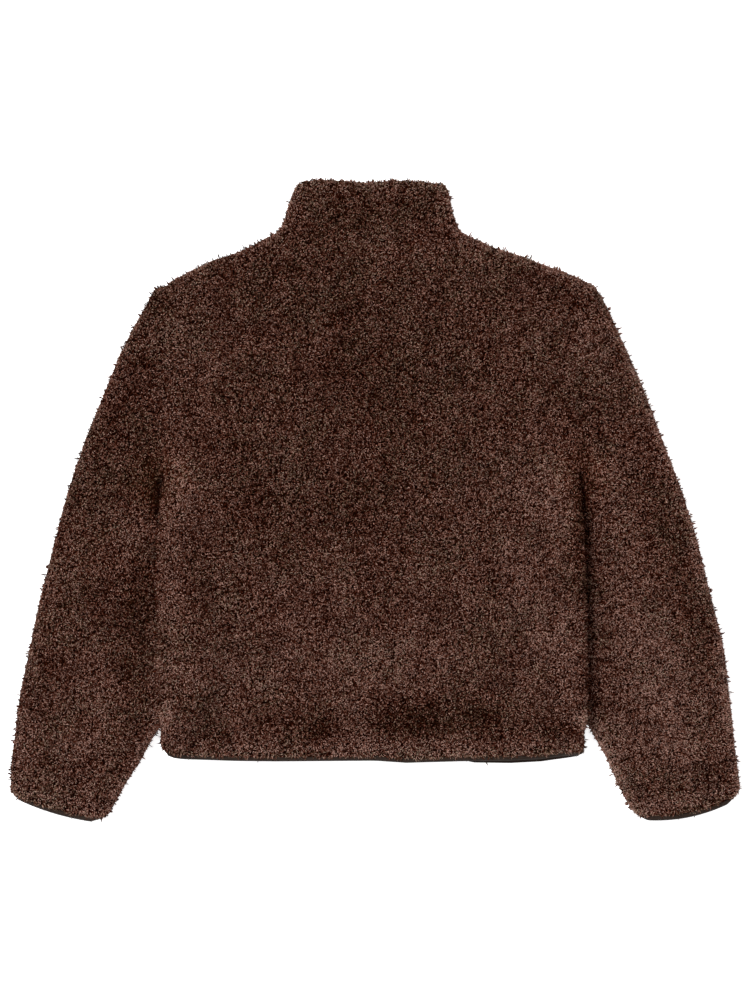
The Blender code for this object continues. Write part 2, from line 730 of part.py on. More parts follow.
def slab(name, outline, low, high, finish, holes=()):
    """A flat piece: its outline on the plan carried from low to high. A hole's outline has as many
    points as the outline and faces it point by point."""
    count = len(outline)
    outer = np.array(outline, float)
    points = [np.column_stack([outer, np.full(count, z)]) for z in (low, high)]
    ring = [(k, (k + 1) % count) for k in range(count)]
    faces = [[a, b, b + count, a + count] for a, b in ring]
    if not len(holes):
        faces += [list(range(count))[::-1], list(range(count, 2 * count))]
        return add(name, np.concatenate(points), faces, finish)
    hole = np.array(holes, float)
    points += [np.column_stack([hole, np.full(count, z)]) for z in (low, high)]
    inner = 2 * count
    faces += [[b + inner, a + inner, a + inner + count, b + inner + count] for a, b in ring]
    faces += [[b, a, a + inner, b + inner] for a, b in ring]
    faces += [[a + count, b + count, b + inner + count, a + inner + count] for a, b in ring]
    return add(name, np.concatenate(points), faces, finish)


def zip_top():
    """Plan height of the closed collar's front edge at the zip."""
    return float(collar_plan("left")[-1, -1, 1])


def zip_tape(name, way, finish):
    """One side's tape, cut back round the slider."""
    edge, reach = CENTRE_X + way * TAPE_EDGE, CENTRE_X + way * TAPE_REACH
    notch = CENTRE_X + way * (SLOT + 0.1)
    low, high = SLIDER_Y - SLIDER_HALF - SEAM_GAP, SLIDER_Y + SLIDER_HALF + SEAM_GAP
    top = zip_top() - 1.0
    outline = [(edge, ZIP_FOOT + BOX_LENGTH), (reach, ZIP_FOOT + 2.0), (reach, top - 3.0)]
    outline += [(reach - way * 3.0, top), (edge, top), (edge, high), (notch, high)]
    outline += [(notch, low), (edge, low)]
    return slab(name, outline, TAPE_LOW, TAPE_LOW + TAPE, finish)


def zip_chain(finish):
    """The closed rows of teeth, as one bar from the box to the slider's mouth."""
    low, high = ZIP_FOOT + BOX_LENGTH + SEAM_GAP, SLIDER_Y - SLIDER_HALF - SEAM_GAP
    left, right = CENTRE_X - CHAIN_HALF, CENTRE_X + CHAIN_HALF
    outline = [(left, low), (right, low), (right, high), (left, high)]
    return slab("zip_chain", outline, CHAIN_LOW, CHAIN_HIGH, finish)


def zip_box(finish):
    """The box and pin that the two sides start from."""
    low, high = ZIP_FOOT, ZIP_FOOT + BOX_LENGTH
    foot = BOX_HALF - 0.9
    outline = [(-foot, low), (foot, low), (BOX_HALF, low + 1.2), (BOX_HALF, high - 1.8)]
    outline += [(2.9, high), (-2.9, high), (-BOX_HALF, high - 1.8), (-BOX_HALF, low + 1.2)]
    placed = [(CENTRE_X + x, y) for x, y in outline]
    return slab("zip_box", placed, BOX_LOW, BOX_HIGH, finish)


def zip_slider(finish):
    """A body that is widest above its middle, with an arch on its front that holds the tab."""
    outline = [(-3.4, -SLIDER_HALF), (3.4, -SLIDER_HALF), (4.1, 1.5), (2.6, SLIDER_HALF)]
    outline += [(-2.6, SLIDER_HALF), (-4.1, 1.5)]
    placed = [(CENTRE_X + x, SLIDER_Y + y) for x, y in outline]
    body = slab("zip_slider", placed, SLIDER_LOW, SLIDER_HIGH, finish)
    sunk, post = 0.6, ARCH_REACH - 1.0
    low = SLIDER_LOW - ARCH_DROP
    side = [(-ARCH_REACH, SLIDER_LOW + sunk), (-ARCH_REACH, low), (ARCH_REACH, low)]
    side += [(ARCH_REACH, SLIDER_LOW + sunk), (post, SLIDER_LOW + sunk), (post, low + ARCH_BAR)]
    side += [(-post, low + ARCH_BAR), (-post, SLIDER_LOW + sunk)]
    count = len(side)
    points = [(CENTRE_X + x, SLIDER_Y + y, z) for x in (-ARCH_HALF, ARCH_HALF) for y, z in side]
    faces = [list(range(count)), list(range(count, 2 * count))[::-1]]
    faces += [[(k + 1) % count, k, k + count, (k + 1) % count + count] for k in range(count)]
    arch = add("slider_arch", np.array(points), faces, finish)
    arch.hide_render = True
    arch.display_type = "WIRE"
    union = body.modifiers.new("arch", "BOOLEAN")
    union.operation = "UNION"
    union.object = arch
    return body


def zip_pull_tab(finish):
    """A flat tab that hangs from its cross bar, with an eye that the slider's arch passes through.
    The object's origin is on the hinge."""
    tip = -TAB_LENGTH
    outline = [(-TAB_HALF + 0.6, HINGE_HALF), (TAB_HALF - 0.6, HINGE_HALF)]
    outline += [(TAB_HALF, 0.0), (TAB_HALF, -EYE_LENGTH - 1.5), (TAB_HALF - 0.7, -12.0)]
    outline += [(TAB_HALF - 0.3, tip + 2.0), (TAB_HALF - 1.6, tip), (-TAB_HALF + 1.6, tip)]
    outline += [(-TAB_HALF + 0.3, tip + 2.0), (-TAB_HALF + 0.7, -12.0)]
    outline += [(-TAB_HALF, -EYE_LENGTH - 1.5), (-TAB_HALF, 0.0)]
    half = TAB_HALF - TAB_RIM
    top, foot = -HINGE_HALF, -EYE_LENGTH
    eye = [(-half, top), (half, top), (half, top - 0.8), (half, top - 1.8), (half, foot + 0.9)]
    eye += [(half - 0.3, foot + 0.3), (half - 0.8, foot), (-half + 0.8, foot)]
    eye += [(-half + 0.3, foot + 0.3), (-half, foot + 0.9), (-half, top - 1.8), (-half, top - 0.8)]
    tab = slab("zip_pull_tab", outline, -TAB / 2.0, TAB / 2.0, finish, eye)
    hinge = bpy.data.objects.new("tab_hinge", None)
    bpy.context.scene.collection.objects.link(hinge)
    hinge.location = (CENTRE_X * MM, SLIDER_Y * MM, HINGE_Z * MM)
    tab.parent = hinge
    return tab


def main():
    for old in list(bpy.data.objects):
        bpy.data.objects.remove(old, do_unlink=True)
    fleece = material("fleece", FLEECE, 0.95)
    binding = material("binding", BINDING, 0.7)
    tape = material("zip_tape", TAPE_COLOUR, 0.85)
    teeth = material("zip_teeth", CHAIN_COLOUR, 0.4)
    metal = material("zip_metal", METAL_COLOUR, 0.35, 0.9)
    cloth("back", body_panel("back"), fleece)
    cloth("front_left", body_panel("left"), fleece)
    cloth("front_right", body_panel("right"), fleece)
    cloth("sleeve_left", sleeve_grids(0), fleece, closed=True)
    cloth("sleeve_right", sleeve_grids(1), fleece, closed=True)
    cloth("collar", collar_grids(), fleece)
    cloth("hem_binding", hem_band_grids(), binding)
    cloth("cuff_binding_left", cuff_grids(0), binding, closed=True)
    cloth("cuff_binding_right", cuff_grids(1), binding, closed=True)
    zip_tape("zip_tape_left", -1, tape)
    zip_tape("zip_tape_right", 1, tape)
    zip_chain(teeth)
    zip_box(teeth)
    zip_slider(metal)
    zip_pull_tab(metal)


main()
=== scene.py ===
"""Looks of the high-pile fleece jacket, zipped up and laid flat on its front.

The plan tables and the formulas that raise them into cloth are the CAD source's own, in
millimetres. Each panel becomes a thin shell of knitted backing, and tufts of pile stand on it.
"""

import bpy
import numpy as np
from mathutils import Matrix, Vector


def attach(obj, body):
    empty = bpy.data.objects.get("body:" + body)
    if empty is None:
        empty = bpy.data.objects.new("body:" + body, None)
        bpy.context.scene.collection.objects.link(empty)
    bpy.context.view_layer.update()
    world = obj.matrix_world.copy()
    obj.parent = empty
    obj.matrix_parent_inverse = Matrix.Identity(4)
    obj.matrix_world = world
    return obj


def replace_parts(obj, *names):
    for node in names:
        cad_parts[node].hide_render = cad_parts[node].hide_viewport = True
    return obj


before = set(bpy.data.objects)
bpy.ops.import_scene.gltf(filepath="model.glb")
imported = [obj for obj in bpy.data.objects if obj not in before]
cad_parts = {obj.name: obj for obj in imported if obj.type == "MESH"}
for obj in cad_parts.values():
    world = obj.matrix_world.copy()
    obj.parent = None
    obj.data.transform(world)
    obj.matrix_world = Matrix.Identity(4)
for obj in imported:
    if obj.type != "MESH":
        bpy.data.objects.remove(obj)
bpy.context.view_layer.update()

MM = 0.001

# ---- Cloth
WALL = 8.0  # knitted backing and its pile together
HOLLOW = 1.6  # air between the front and the back of the garment
INNER_ROUND = HOLLOW / 2  # radius of a fold's inner surface
OUTER_ROUND = INNER_ROUND + WALL
TOUCH = 0.01  # a point this near a fold lies on it
PAST_FOLD = 3.0  # and so does one that is less than this outside it
MIDDLE = OUTER_ROUND  # height of the folds, half way up a flattened tube
SEAM_GAP = 0.3
FOLD_STEPS = (0.0, 0.5, 1.2, 2.6, 4.4, 6.5, OUTER_ROUND)  # grid lines beside a fold

# ---- Edges and seams
EDGE_DROP, EDGE_ROUND = 3.6, 7.0  # the pile rounds off towards a free edge
EDGE_STEPS = (0.0, 1.0, 2.5, 4.5, EDGE_ROUND)
HOLLOW_FADE = 14.0  # reach from a free edge over which the soft hollows fade in
BAND = WALL - EDGE_DROP  # the elastic binding is as thick at its seam as the cloth's edge
BAND_HEIGHT = 5.5  # depth of the binding below the cloth's edge
BAND_STEPS = (0.0, 2.9, BAND_HEIGHT)
SEAM_DIP, SEAM_DIP_REACH = 2.0, 7.0  # the pile parts over the armhole seam
ARMPIT_FULL, ARMPIT_FADE = 6.0, 20.0  # but the wall is full at the armpits, where the folds meet

# ---- Body over the tucked sleeves
LIFT = 2 * OUTER_ROUND + 0.6  # the body's sides lie on the sleeves, each a flattened tube
LIFT_LEVEL, LIFT_RAMP = 6.0, 50.0  # it stays level so far past a sleeve, then comes down
LIFT_START = 53.0  # length of side seam below the armpit over which it rises

# ---- Zip at the centre front
CENTRE_X = -1.8
SLOT = 4.5  # from the zip's centre line to the cloth on each side
TAPE_EDGE, TAPE_REACH, TAPE = 3.1, 14.5, 0.7
TAPE_LOW = MIDDLE - INNER_ROUND + SEAM_GAP
CHAIN_LOW, CHAIN_HIGH = 6.4, 9.0
ZIP_FOOT, BOX_LENGTH, BOX_HALF, BOX_LOW, BOX_HIGH = -296.0, 9.0, 3.7, 6.0, 9.2
SLIDER_Y, SLIDER_HALF, SLIDER_LOW, SLIDER_HIGH = 319.0, 5.5, 4.9, 9.3
ARCH_HALF, ARCH_REACH, ARCH_BAR, ARCH_DROP = 0.9, 3.8, 0.9, 2.5
TAB_LENGTH, TAB_HALF, TAB, TAB_RIM = 26.0, 3.1, 1.0, 1.5
HINGE_Z = SLIDER_LOW - 0.8
HINGE_HALF = 0.5  # half the depth of the tab's cross bar
EYE_LENGTH = 5.2


def table(columns, *rows):
    """Rows of numbers as one array for each named column."""
    return dict(zip(columns.split(), np.array(rows, float).T))


# ---- Outline of the body, from the hem (height 0) to the shoulders (height 1)
ARMPIT = 0.572
SIDE_X = ("left_x", "right_x")
SIDES = table(
    "height left_x right_x",
    (0, -245.5, 241.5), (0.02, -246, 239.5), (0.04, -246.5, 240.5), (0.06, -247, 243),
    (0.11, -247.5, 244.5), (0.175, -250.5, 244), (0.265, -248.5, 243.5), (0.345, -251, 242),
    (0.47, -251, 240), (ARMPIT, -246, 237), (1, -240.5, 222),
)
HEM = table(
    "x back_y front_y",
    (-245.5, -286.5, -286.5), (-236, -292, -290.5), (-228, -295.5, -293.5), (-213, -297, -295),
    (-170, -298.5, -296.5), (-134, -299.5, -296.5), (0, -298.5, -297), (36, -301, -297.5),
    (105, -299, -299), (120, -299, -302), (154, -298.5, -301.5), (192, -296.5, -299.5),
    (215, -293, -296), (231, -291, -292.5), (241.5, -289.5, -289.5),
)
SHOULDER = table(
    "x y",
    (-240.5, 250.5), (-228, 257.5), (-211, 266), (-186, 278.5), (-162, 285.5), (-145, 292),
    (-130, 299), (-115, 309), (100, 310), (109, 304.5), (118, 299), (143, 291), (176, 280),
    (203, 269), (222, 264),
)
NECK_LEFT, NECK_RIGHT = (-115.0, 309.0), (100.0, 310.0)
BACK_NECK_DROP, FRONT_NECK_DROP = 19.0, 76.0

# ---- Outline of the collar, from the neck seam (height 0) to its top edge (height 1)
COLLAR_SIDES = table(
    "height left_x right_x",
    (0, -115, 100), (0.14, -108.5, 95.5), (0.36, -104, 91.5), (0.6, -100.5, 88.5),
    (0.8, -97, 86.5), (1, -92.5, 84.5),
)
COLLAR_TOP = table(
    "x y",
    (-92.5, 362.5), (-84, 366.5), (-65, 369.5), (-31, 367), (-6, 365.5), (19, 368), (45, 367.5),
    (63, 365.5), (76, 363.5), (84.5, 360.5),
)
COLLAR_FRONT_DROP = 32.0  # the closed collar's front edge lies lower than its back edge
COLLAR_HEIGHTS = (0.0, 0.06, *np.arange(0.12, 0.85, 0.09))  # grid lines below the rounded edge

# ---- Sleeves: one row for each section, from the shoulder to the cuff. Each section runs from
# the outer fold to the inner one, and bows towards the cuff. The armhole comes before the first
# row, and the last row is where the binding starts.
SLEEVE_LEFT = table(
    "outer_x outer_y inner_x inner_y bow",
    (-255.5, 243, -247.4, 11, 0), (-263.5, 227.5, -247.2, -1, 0), (-278.5, 200, -246.5, -13, 0),
    (-294, 170, -246, -27, 0), (-313, 123, -245, -48, 0), (-332.5, 76, -239.5, -75, 0),
    (-353, 16, -229, -108, 0), (-367, -36, -217.5, -143, 0), (-383, -94, -210.5, -174, 0),
    (-397, -163, -210.5, -204, 1), (-409.5, -223, -221, -232, 2), (-413.5, -254, -236, -247, 3),
    (-417.5, -284, -249.5, -264, 4), (-420.3, -306, -266.5, -295, 5),
    (-420.3, -322, -285.5, -325, 6), (-420, -335, -307.5, -364.5, 5),
)
SLEEVE_RIGHT = table(
    "outer_x outer_y inner_x inner_y bow",
    (237, 256, 238.1, 20, 0), (253, 248.5, 237.6, 8, 0), (268, 223, 236.6, -4, 0),
    (283, 189, 236.2, -16, 0), (300, 152, 236, -28, 0), (315, 115, 233.5, -60, 0),
    (330, 73.5, 226, -98, 0), (353.5, 13, 214, -136, 0), (371.5, -45, 207, -172, 0),
    (387.5, -107, 207, -203, 1), (403, -174, 217, -231, 2), (408.5, -225, 232, -247, 4),
    (413, -264, 245, -260, 6), (417, -299, 263, -292, 9), (420.3, -327, 278.5, -327, 12),
    (419.5, -335.5, 296.5, -360.5, 10),
)
CUFF = table(
    "outer_x outer_y inner_x inner_y bow",
    (-418.5, -339.5, -314, -370, 5), (417, -342.5, 300.5, -366, 9.5),
)

# ---- Soft hollows in the lying pile: centre, half length and half width, turn and depth
HOLLOWS = table(
    "x y length width degrees depth",
    (-205, 60, 90, 22, 62, 2.2), (196, 66, 95, 24, 118, 2.4), (-330, -60, 70, 26, 35, 2.2),
    (330, -75, 75, 26, 145, 2.2), (-150, -262, 60, 20, 12, 2), (-20, -255, 75, 22, -6, 2),
    (110, -262, 60, 20, 8, 1.8), (-4, 296, 80, 16, 0, 2), (-352, -270, 50, 22, 20, 1.8),
    (350, -262, 55, 22, 160, 1.8),
)

# ---- Soft creases in the fronts, pressed against what the jacket lies on
CREASES = table(
    "x y length width degrees depth",
    (-148, 124, 84, 16, 68, 1.9), (-84, -52, 112, 21, 99, 2.3), (-176, -186, 58, 14, 22, 1.6),
    (74, 66, 96, 18, 83, 2.1), (152, -118, 74, 17, 138, 1.9), (62, -226, 64, 14, 6, 1.5),
    (122, 196, 50, 15, 118, 1.7), (-60, 214, 44, 13, 40, 1.4),
)

# ---- Tone of the pile: soft light and dark patches over the whole garment. The narrow dark strips along the body's sides, at x -253, 238 and 240, are painted shadow that the body casts on the sleeves, and the light strip on the body's left side at x -234 is painted light.
PATCHES = table(
    "x y length width degrees tone",
    (-30, 150, 110, 105, 90, -0.07), (-55, -170, 105, 60, 0, 0.06), (0, -185, 230, 46, 0, 0.07),
    (180, -80, 125, 46, 90, 0.1), (218, -190, 60, 24, 90, 0.07), (212, -8, 55, 16, 90, 0.1),
    (-215, -12, 42, 22, 90, 0.1), (-234, -45, 195, 15, 90, 0.11), (-236, -240, 34, 18, 90, 0.12),
    (-266, 36, 52, 18, 92, -0.17), (-278, -40, 34, 20, 90, 0.16), (-270, -130, 62, 20, 90, -0.17),
    (-292, -105, 60, 22, 85, -0.06), (-278, -222, 46, 18, 90, -0.12),
    (-340, -255, 80, 52, 50, 0.1), (-300, 80, 46, 22, 70, -0.1), (-264, 178, 40, 16, 65, 0.06),
    (-250, 228, 20, 14, 65, -0.12), (-175, -268, 10, 13, 0, -0.22), (-61, -262, 16, 20, 0, -0.24),
    (10, -256, 18, 12, 0, -0.12), (52, -250, 32, 23, 0, -0.25), (127, -250, 25, 23, 0, -0.23),
    (198, -262, 17, 10, 0, -0.2), (190, -222, 40, 14, 0, 0.06), (398, -255, 80, 16, 92, 0.1),
    (-404, -270, 50, 14, 96, 0.1), (0, -284, 250, 10, 0, 0.2), (238, 6, 60, 13, 90, -0.24),
    (240, -120, 110, 7, 90, -0.12), (312, -190, 120, 48, 105, 0.2), (352, -285, 80, 30, 95, 0.07),
    (278, -284, 40, 22, 90, 0.12), (272, 12, 36, 18, 90, 0.09), (300, -22, 40, 22, 100, 0.1),
    (338, -68, 80, 15, 111, -0.1), (246, 180, 60, 14, 105, 0.1), (-6, 326, 58, 22, 0, -0.09),
    (-4, 368, 96, 12, 0, 0.16), (-165, 20, 60, 40, 90, -0.04), (236, 226, 11, 9, 30, -0.15),
    (203, 238, 11, 8, 20, -0.12), (178, 204, 13, 8, 70, -0.1), (208, 176, 14, 9, 110, -0.1),
    (222, 150, 16, 12, 90, 0.08), (-234, 224, 13, 8, 20, -0.12), (-268, 159, 12, 9, 0, -0.15),
    (-228, 196, 14, 10, 90, 0.08), (-253, 8, 32, 7, 87, -0.22), (-276, -306, 50, 14, 60, 0.16),
    (285, -318, 45, 16, 116, 0.08), (-364, -344, 70, 10, 165, 0.13), (358, -342, 70, 10, 12, 0.18),
)

# ---- Widest steps between the grid lines that finer puts in
CLOTH_STEP, BAND_STEP, PUCKER_STEP = 9.0, 0.8, 3.5
PUCKER, PUCKER_SIZE = 0.28, 5.0  # height and size of the puckers in the elastic bindings
CELLS = 61  # noise repeats after so many cells


# ---- Paths, plan points and noise


def smooth(amount):
    """0 to 1 with level ends, for an amount that runs from 0 to 1."""
    held = np.clip(amount, 0.0, 1.0)
    return held * held * (3.0 - 2.0 * held)


def blend(low, high, share):
    return low + (high - low) * share


def spaced(low, high, count):
    """count values between low and high, without either of them."""
    return list(np.linspace(low, high, count + 2)[1:-1])


def line(*columns):
    """Plan points from one array for each axis."""
    return np.stack([np.asarray(c, float) for c in columns], axis=-1)


def square_to(run):
    """Unit way square to the left of each stretch of a path."""
    return line(-run[:, 1], run[:, 0]) / np.hypot(run[:, 0], run[:, 1])[:, None]


def to_lines(points, lines):
    """From each plan point to each stretch of some lines: the stretches, the ways from their
    nearest places to the point, and the distances."""
    starts = np.concatenate([path[:-1] for path in lines])
    runs = np.concatenate([path[1:] - path[:-1] for path in lines])
    along = ((points[:, None] - starts) * runs).sum(2) / (runs**2).sum(1)
    away = points[:, None] - starts - np.clip(along, 0.0, 1.0)[..., None] * runs
    return runs, away, np.hypot(away[..., 0], away[..., 1])


def distance(points, *lines):
    """Distance of each plan point from the nearest of some lines."""
    return to_lines(points, lines)[2].min(axis=1)


def gap_to(points, places):
    """Distance of each plan point from the nearest of some places."""
    return np.min([np.hypot(*(points - place).T) for place in places], axis=0)


def from_folds(points, folds, inward):
    """Distance of each plan point from the nearest fold, and the unit way from it into the cloth.
    On a fold that is the way square to it, and at its bends the mean of both stretches' ways."""
    runs, away, gaps = to_lines(points, folds)
    gap = gaps.min(axis=1)
    across = square_to(runs)
    turned = across * np.where((across * inward[:, None]).sum(2) < 0.0, -1.0, 1.0)[..., None]
    square = (turned * (gaps < gap[:, None] + TOUCH)[..., None]).sum(1)
    square /= np.hypot(square[:, 0], square[:, 1])[:, None]
    straight = away[np.arange(len(points)), gaps.argmin(axis=1)]
    straight = straight / np.maximum(gap, TOUCH)[:, None]
    nearest = turned[np.arange(len(points)), gaps.argmin(axis=1)]
    outside = (gap < TOUCH) | ((gap < PAST_FOLD) & ((straight * nearest).sum(1) < 0.0))
    return np.where(outside, 0.0, gap), np.where(outside[:, None], square, straight)


def inside(points, ring):
    """Which plan points lie within a closed ring, by counting the sides to their right."""
    x0, y0 = ring.T
    x1, y1 = np.roll(ring, -1, axis=0).T
    x, y = points[:, :1], points[:, 1:]
    spans = (y0 > y) != (y1 > y)
    slope = (x1 - x0) / np.where(y1 == y0, 1.0, y1 - y0)
    return ((x < x0 + slope * (y - y0)) & spans).sum(1) % 2 == 1


def rounding(gap):
    """How far the pile is drawn in near a free edge: a quarter circle, stretched to its drop."""
    reach = 1.0 - np.clip(gap / EDGE_ROUND, 0.0, 1.0)
    return EDGE_DROP * (1.0 - np.sqrt(1.0 - reach**2))


def bells(points, places, values):
    """Sum of bells over ellipses on the plan, each with its centre, half length, half width and
    turn from the table of places."""
    total = np.zeros(len(points))
    for k, value in enumerate(values):
        turn = np.radians(places["degrees"][k])
        x, y = points[:, 0] - places["x"][k], points[:, 1] - places["y"][k]
        along = (x * np.cos(turn) + y * np.sin(turn)) / places["length"][k]
        across = (y * np.cos(turn) - x * np.sin(turn)) / places["width"][k]
        total += value * np.exp(-(along**2) - across**2)
    return total


def noise(points, size, seed):
    """Smooth noise from -1 to 1 over the plan: random values at the corners of square cells,
    blended between them. The cells are turned by an angle of their own for each seed."""
    corners = np.random.default_rng(seed).uniform(-1.0, 1.0, (CELLS, CELLS))
    turn = 1.7 * seed
    x, y = points[:, 0], points[:, 1]
    at = line(x * np.cos(turn) + y * np.sin(turn), y * np.cos(turn) - x * np.sin(turn)) / size
    cell = np.floor(at).astype(int)
    share = smooth(at - cell)
    i, j = (cell % CELLS).T
    i1, j1 = (i + 1) % CELLS, (j + 1) % CELLS
    low = blend(corners[i, j], corners[i1, j], share[:, 0])
    high = blend(corners[i, j1], corners[i1, j1], share[:, 0])
    return blend(low, high, share[:, 1])


def wall(points, edge, places=HOLLOWS):
    """Thickness of the pile cloth. It rounds off towards a free edge, and the hollows end there."""
    gap = distance(points, edge)
    hollow = bells(points, places, places["depth"])
    return WALL - rounding(gap) - hollow * smooth(gap / HOLLOW_FADE)


def finer(plan, step):
    """The plan's grid with even lines put between its own rows, no further apart than the step."""
    gaps = np.linalg.norm(np.diff(plan, axis=0), axis=2).max(axis=1)
    counts = np.maximum(np.ceil(gaps / step), 1).astype(int)
    places = [k + np.arange(n) / n for k, n in enumerate(counts)]
    places = np.r_[np.concatenate(places), len(counts)]
    low = np.minimum(places.astype(int), len(counts) - 1)
    return blend(plan[low], plan[low + 1], (places - low)[:, None, None])


# ---- Plan of the sleeves, and how far the body is lifted by them


def sleeve_lines(side):
    """Outer and inner fold of a sleeve, from the armhole to the end of its binding."""
    rows = SLEEVES[side]
    folds = []
    for start, fold in zip(ARMHOLE[side], ("outer", "inner")):
        names = (fold + "_x", fold + "_y")
        columns = [np.r_[start[k], rows[n], CUFF[n][side]] for k, n in enumerate(names)]
        folds.append(line(*columns))
    return folds


def side_point(height, side):
    """Plan point on the body's left (0) or right (1) edge."""
    low = HEM["back_y"][-side] + BAND_HEIGHT
    y = blend(low, SHOULDER["y"][-side], height)
    x = np.interp(height, SIDES["height"], SIDES[SIDE_X[side]])
    return float(x), float(y)


SLEEVES = (SLEEVE_LEFT, SLEEVE_RIGHT)
ARMHOLE = [(side_point(1.0, side), side_point(ARMPIT, side)) for side in (0, 1)]
ARMPITS = [armpit for _, armpit in ARMHOLE]
SLEEVE_FOLDS = [sleeve_lines(side) for side in (0, 1)]
SHOULDER_LINE = line(SHOULDER["x"], SHOULDER["y"])


def lift(points):
    """Height of the body above where it lies in the middle. It is raised over each sleeve, comes
    down past the sleeve's inner fold, and starts from nothing at the armpit."""
    height = np.zeros(len(points))
    for (outer, inner), armpit in zip(SLEEVE_FOLDS, ARMPITS):
        gap = distance(points, inner)
        gap[inside(points, np.concatenate([outer, inner[::-1]]))] = 0.0
        down = 1.0 - smooth((gap - LIFT_LEVEL) / LIFT_RAMP)
        risen = smooth((armpit[1] - points[:, 1]) / LIFT_START)
        height = np.maximum(height, LIFT * down * risen)
    return height


# ---- Plan of the body


def fold_lines():
    """Folds of the body and the collar: side seams, then shoulders with the collar's sides."""
    heights = np.r_[-0.03, SIDES["height"][:-1]]
    sides = [line(*np.array([side_point(h, side) for h in heights]).T) for side in (0, 1)]
    sides[0][0, 0], sides[1][0, 0] = sides[0][1, 0], sides[1][1, 0]
    neck = len(SHOULDER_LINE) // 2
    for side, shoulder in enumerate((SHOULDER_LINE[: neck + 1], SHOULDER_LINE[:neck:-1])):
        sleeve = SLEEVE_FOLDS[side][0][2:0:-1]
        sides.append(np.concatenate([sleeve, shoulder, collar_side(side)[1:]]))
    return sides


def collar_side(side):
    """The collar's side fold, drawn on a little past its top edge."""
    base = (NECK_LEFT, NECK_RIGHT)[side][1]
    heights = np.r_[COLLAR_SIDES["height"], 1.05]
    x = np.interp(heights, COLLAR_SIDES["height"], COLLAR_SIDES[SIDE_X[side]])
    return line(x, blend(base, COLLAR_TOP["y"][-side], heights))


def neck_line(x, drop, end_x):
    """Height on the plan of the neck seam. On the back, where end_x is None, it is a shallow bow,
    and on a front a quarter of a wave from the neck point down to the zip."""
    if end_x is None:
        share = (x - NECK_LEFT[0]) / (NECK_RIGHT[0] - NECK_LEFT[0])
        return blend(NECK_LEFT[1], NECK_RIGHT[1], share) - drop * 4.0 * share * (1.0 - share)
    start = NECK_LEFT if end_x < CENTRE_X else NECK_RIGHT
    share = (x - start[0]) / (end_x - start[0])
    return start[1] - drop * np.sin(share * np.pi / 2.0)


def top_line(x, drop, end_x):
    """Height on the plan of the body's upper edge: shoulders with the neck between them."""
    within = (x >= NECK_LEFT[0]) & (x <= NECK_RIGHT[0])
    return np.where(within, neck_line(x, drop, end_x), np.interp(x, SHOULDER["x"], SHOULDER["y"]))


NEAR_SIDE = (*FOLD_STEPS, *np.arange(16.0, 87.0, 7.0))  # grid lines from the body's side inwards


def neck_steps(start, end, count, both):
    """Grid lines of the neck seam: close together beside a fold, even between."""
    way = np.sign(end - start)
    first = [start + way * step for step in FOLD_STEPS]
    last = [end - way * step for step in FOLD_STEPS[::-1]] if both else [end]
    return np.array(first + spaced(first[-1], last[0], count) + last)


BACK_NECK = neck_steps(NECK_LEFT[0], NECK_RIGHT[0], 26, True)
FRONT_NECK = [neck_steps(NECK_LEFT[0], CENTRE_X - SLOT, 14, False)]
FRONT_NECK.append(neck_steps(NECK_RIGHT[0], CENTRE_X + SLOT, 14, False))


def across_body(height, which):
    """Grid lines across one row of the body, for the back, the left front or the right front."""
    left, right = (np.interp(height, SIDES["height"], SIDES[x]) for x in SIDE_X)
    inner = NEAR_SIDE[-1]
    top = (SIDES["left_x"][-1] + inner, SIDES["right_x"][-1] - inner)
    if which == "back":
        share = (BACK_NECK - top[0]) / (top[1] - top[0])
        ends = left + np.array(NEAR_SIDE), (right - np.array(NEAR_SIDE))[::-1]
        return np.concatenate([ends[0], blend(left + inner, right - inner, share), ends[1]])
    side = ("left", "right").index(which)
    edge, way = ((left, 1.0), (right, -1.0))[side]
    zip_x = CENTRE_X - way * SLOT
    share = (FRONT_NECK[side] - top[side]) / (zip_x - top[side])
    return np.r_[edge + way * np.array(NEAR_SIDE), blend(edge + way * inner, zip_x, share)]


LOWER_ROWS = (*np.arange(0.0262, 0.5695, 0.0129), ARMPIT)
SLEEVE_LINES = 24  # grid lines between the two folds of a sleeve, and so up an armhole
LEAST_SLANT = 0.45  # a sleeve's section meets its folds at no flatter a slant, as a sine
SHOULDER_SLOPE = np.radians(24.0)
UPPER_STEPS = [step / np.cos(SHOULDER_SLOPE) for step in FOLD_STEPS]


def neck_of(which):
    """How deep a panel's neck is cut, and where its seam ends at the zip."""
    if which == "back":
        return BACK_NECK_DROP, None
    return FRONT_NECK_DROP, CENTRE_X + (SLOT if which == "right" else -SLOT)


def upwards(rows, low, high, across):
    """Plan points of rows between two lines, whose columns lean with the outline. across gives the
    grid lines across the panel at a height."""
    heights = (np.array(rows) - low) / (high - low)
    return line([[across(h)[j] for j, h in enumerate(row)] for row in heights], rows)


def body_plan(which):
    """Plan points of a body panel, as rows from the hem up and columns from its side seam. Every
    column runs straight from the hem to the upper edge; rows crowd at the edges and the armpit."""
    drop, zip_x = neck_of(which)
    hem = HEM["back_y" if which == "back" else "front_y"]
    low = np.interp(across_body(0.0, which), HEM["x"], hem) + BAND_HEIGHT
    high = top_line(across_body(1.0, which), drop, zip_x)
    rows = [low + step for step in EDGE_STEPS]
    rows += [blend(low, high, height) for height in LOWER_ROWS]
    rows += [blend(low, high, ARMPIT) + step for step in FOLD_STEPS[1:]]
    rest = high - UPPER_STEPS[-1]
    rows += [blend(rows[-1], rest, share) for share in spaced(0.0, 1.0, SLEEVE_LINES)]
    rows += [high - step for step in UPPER_STEPS[::-1]]
    return upwards(rows, low, high, lambda height: across_body(height, which))


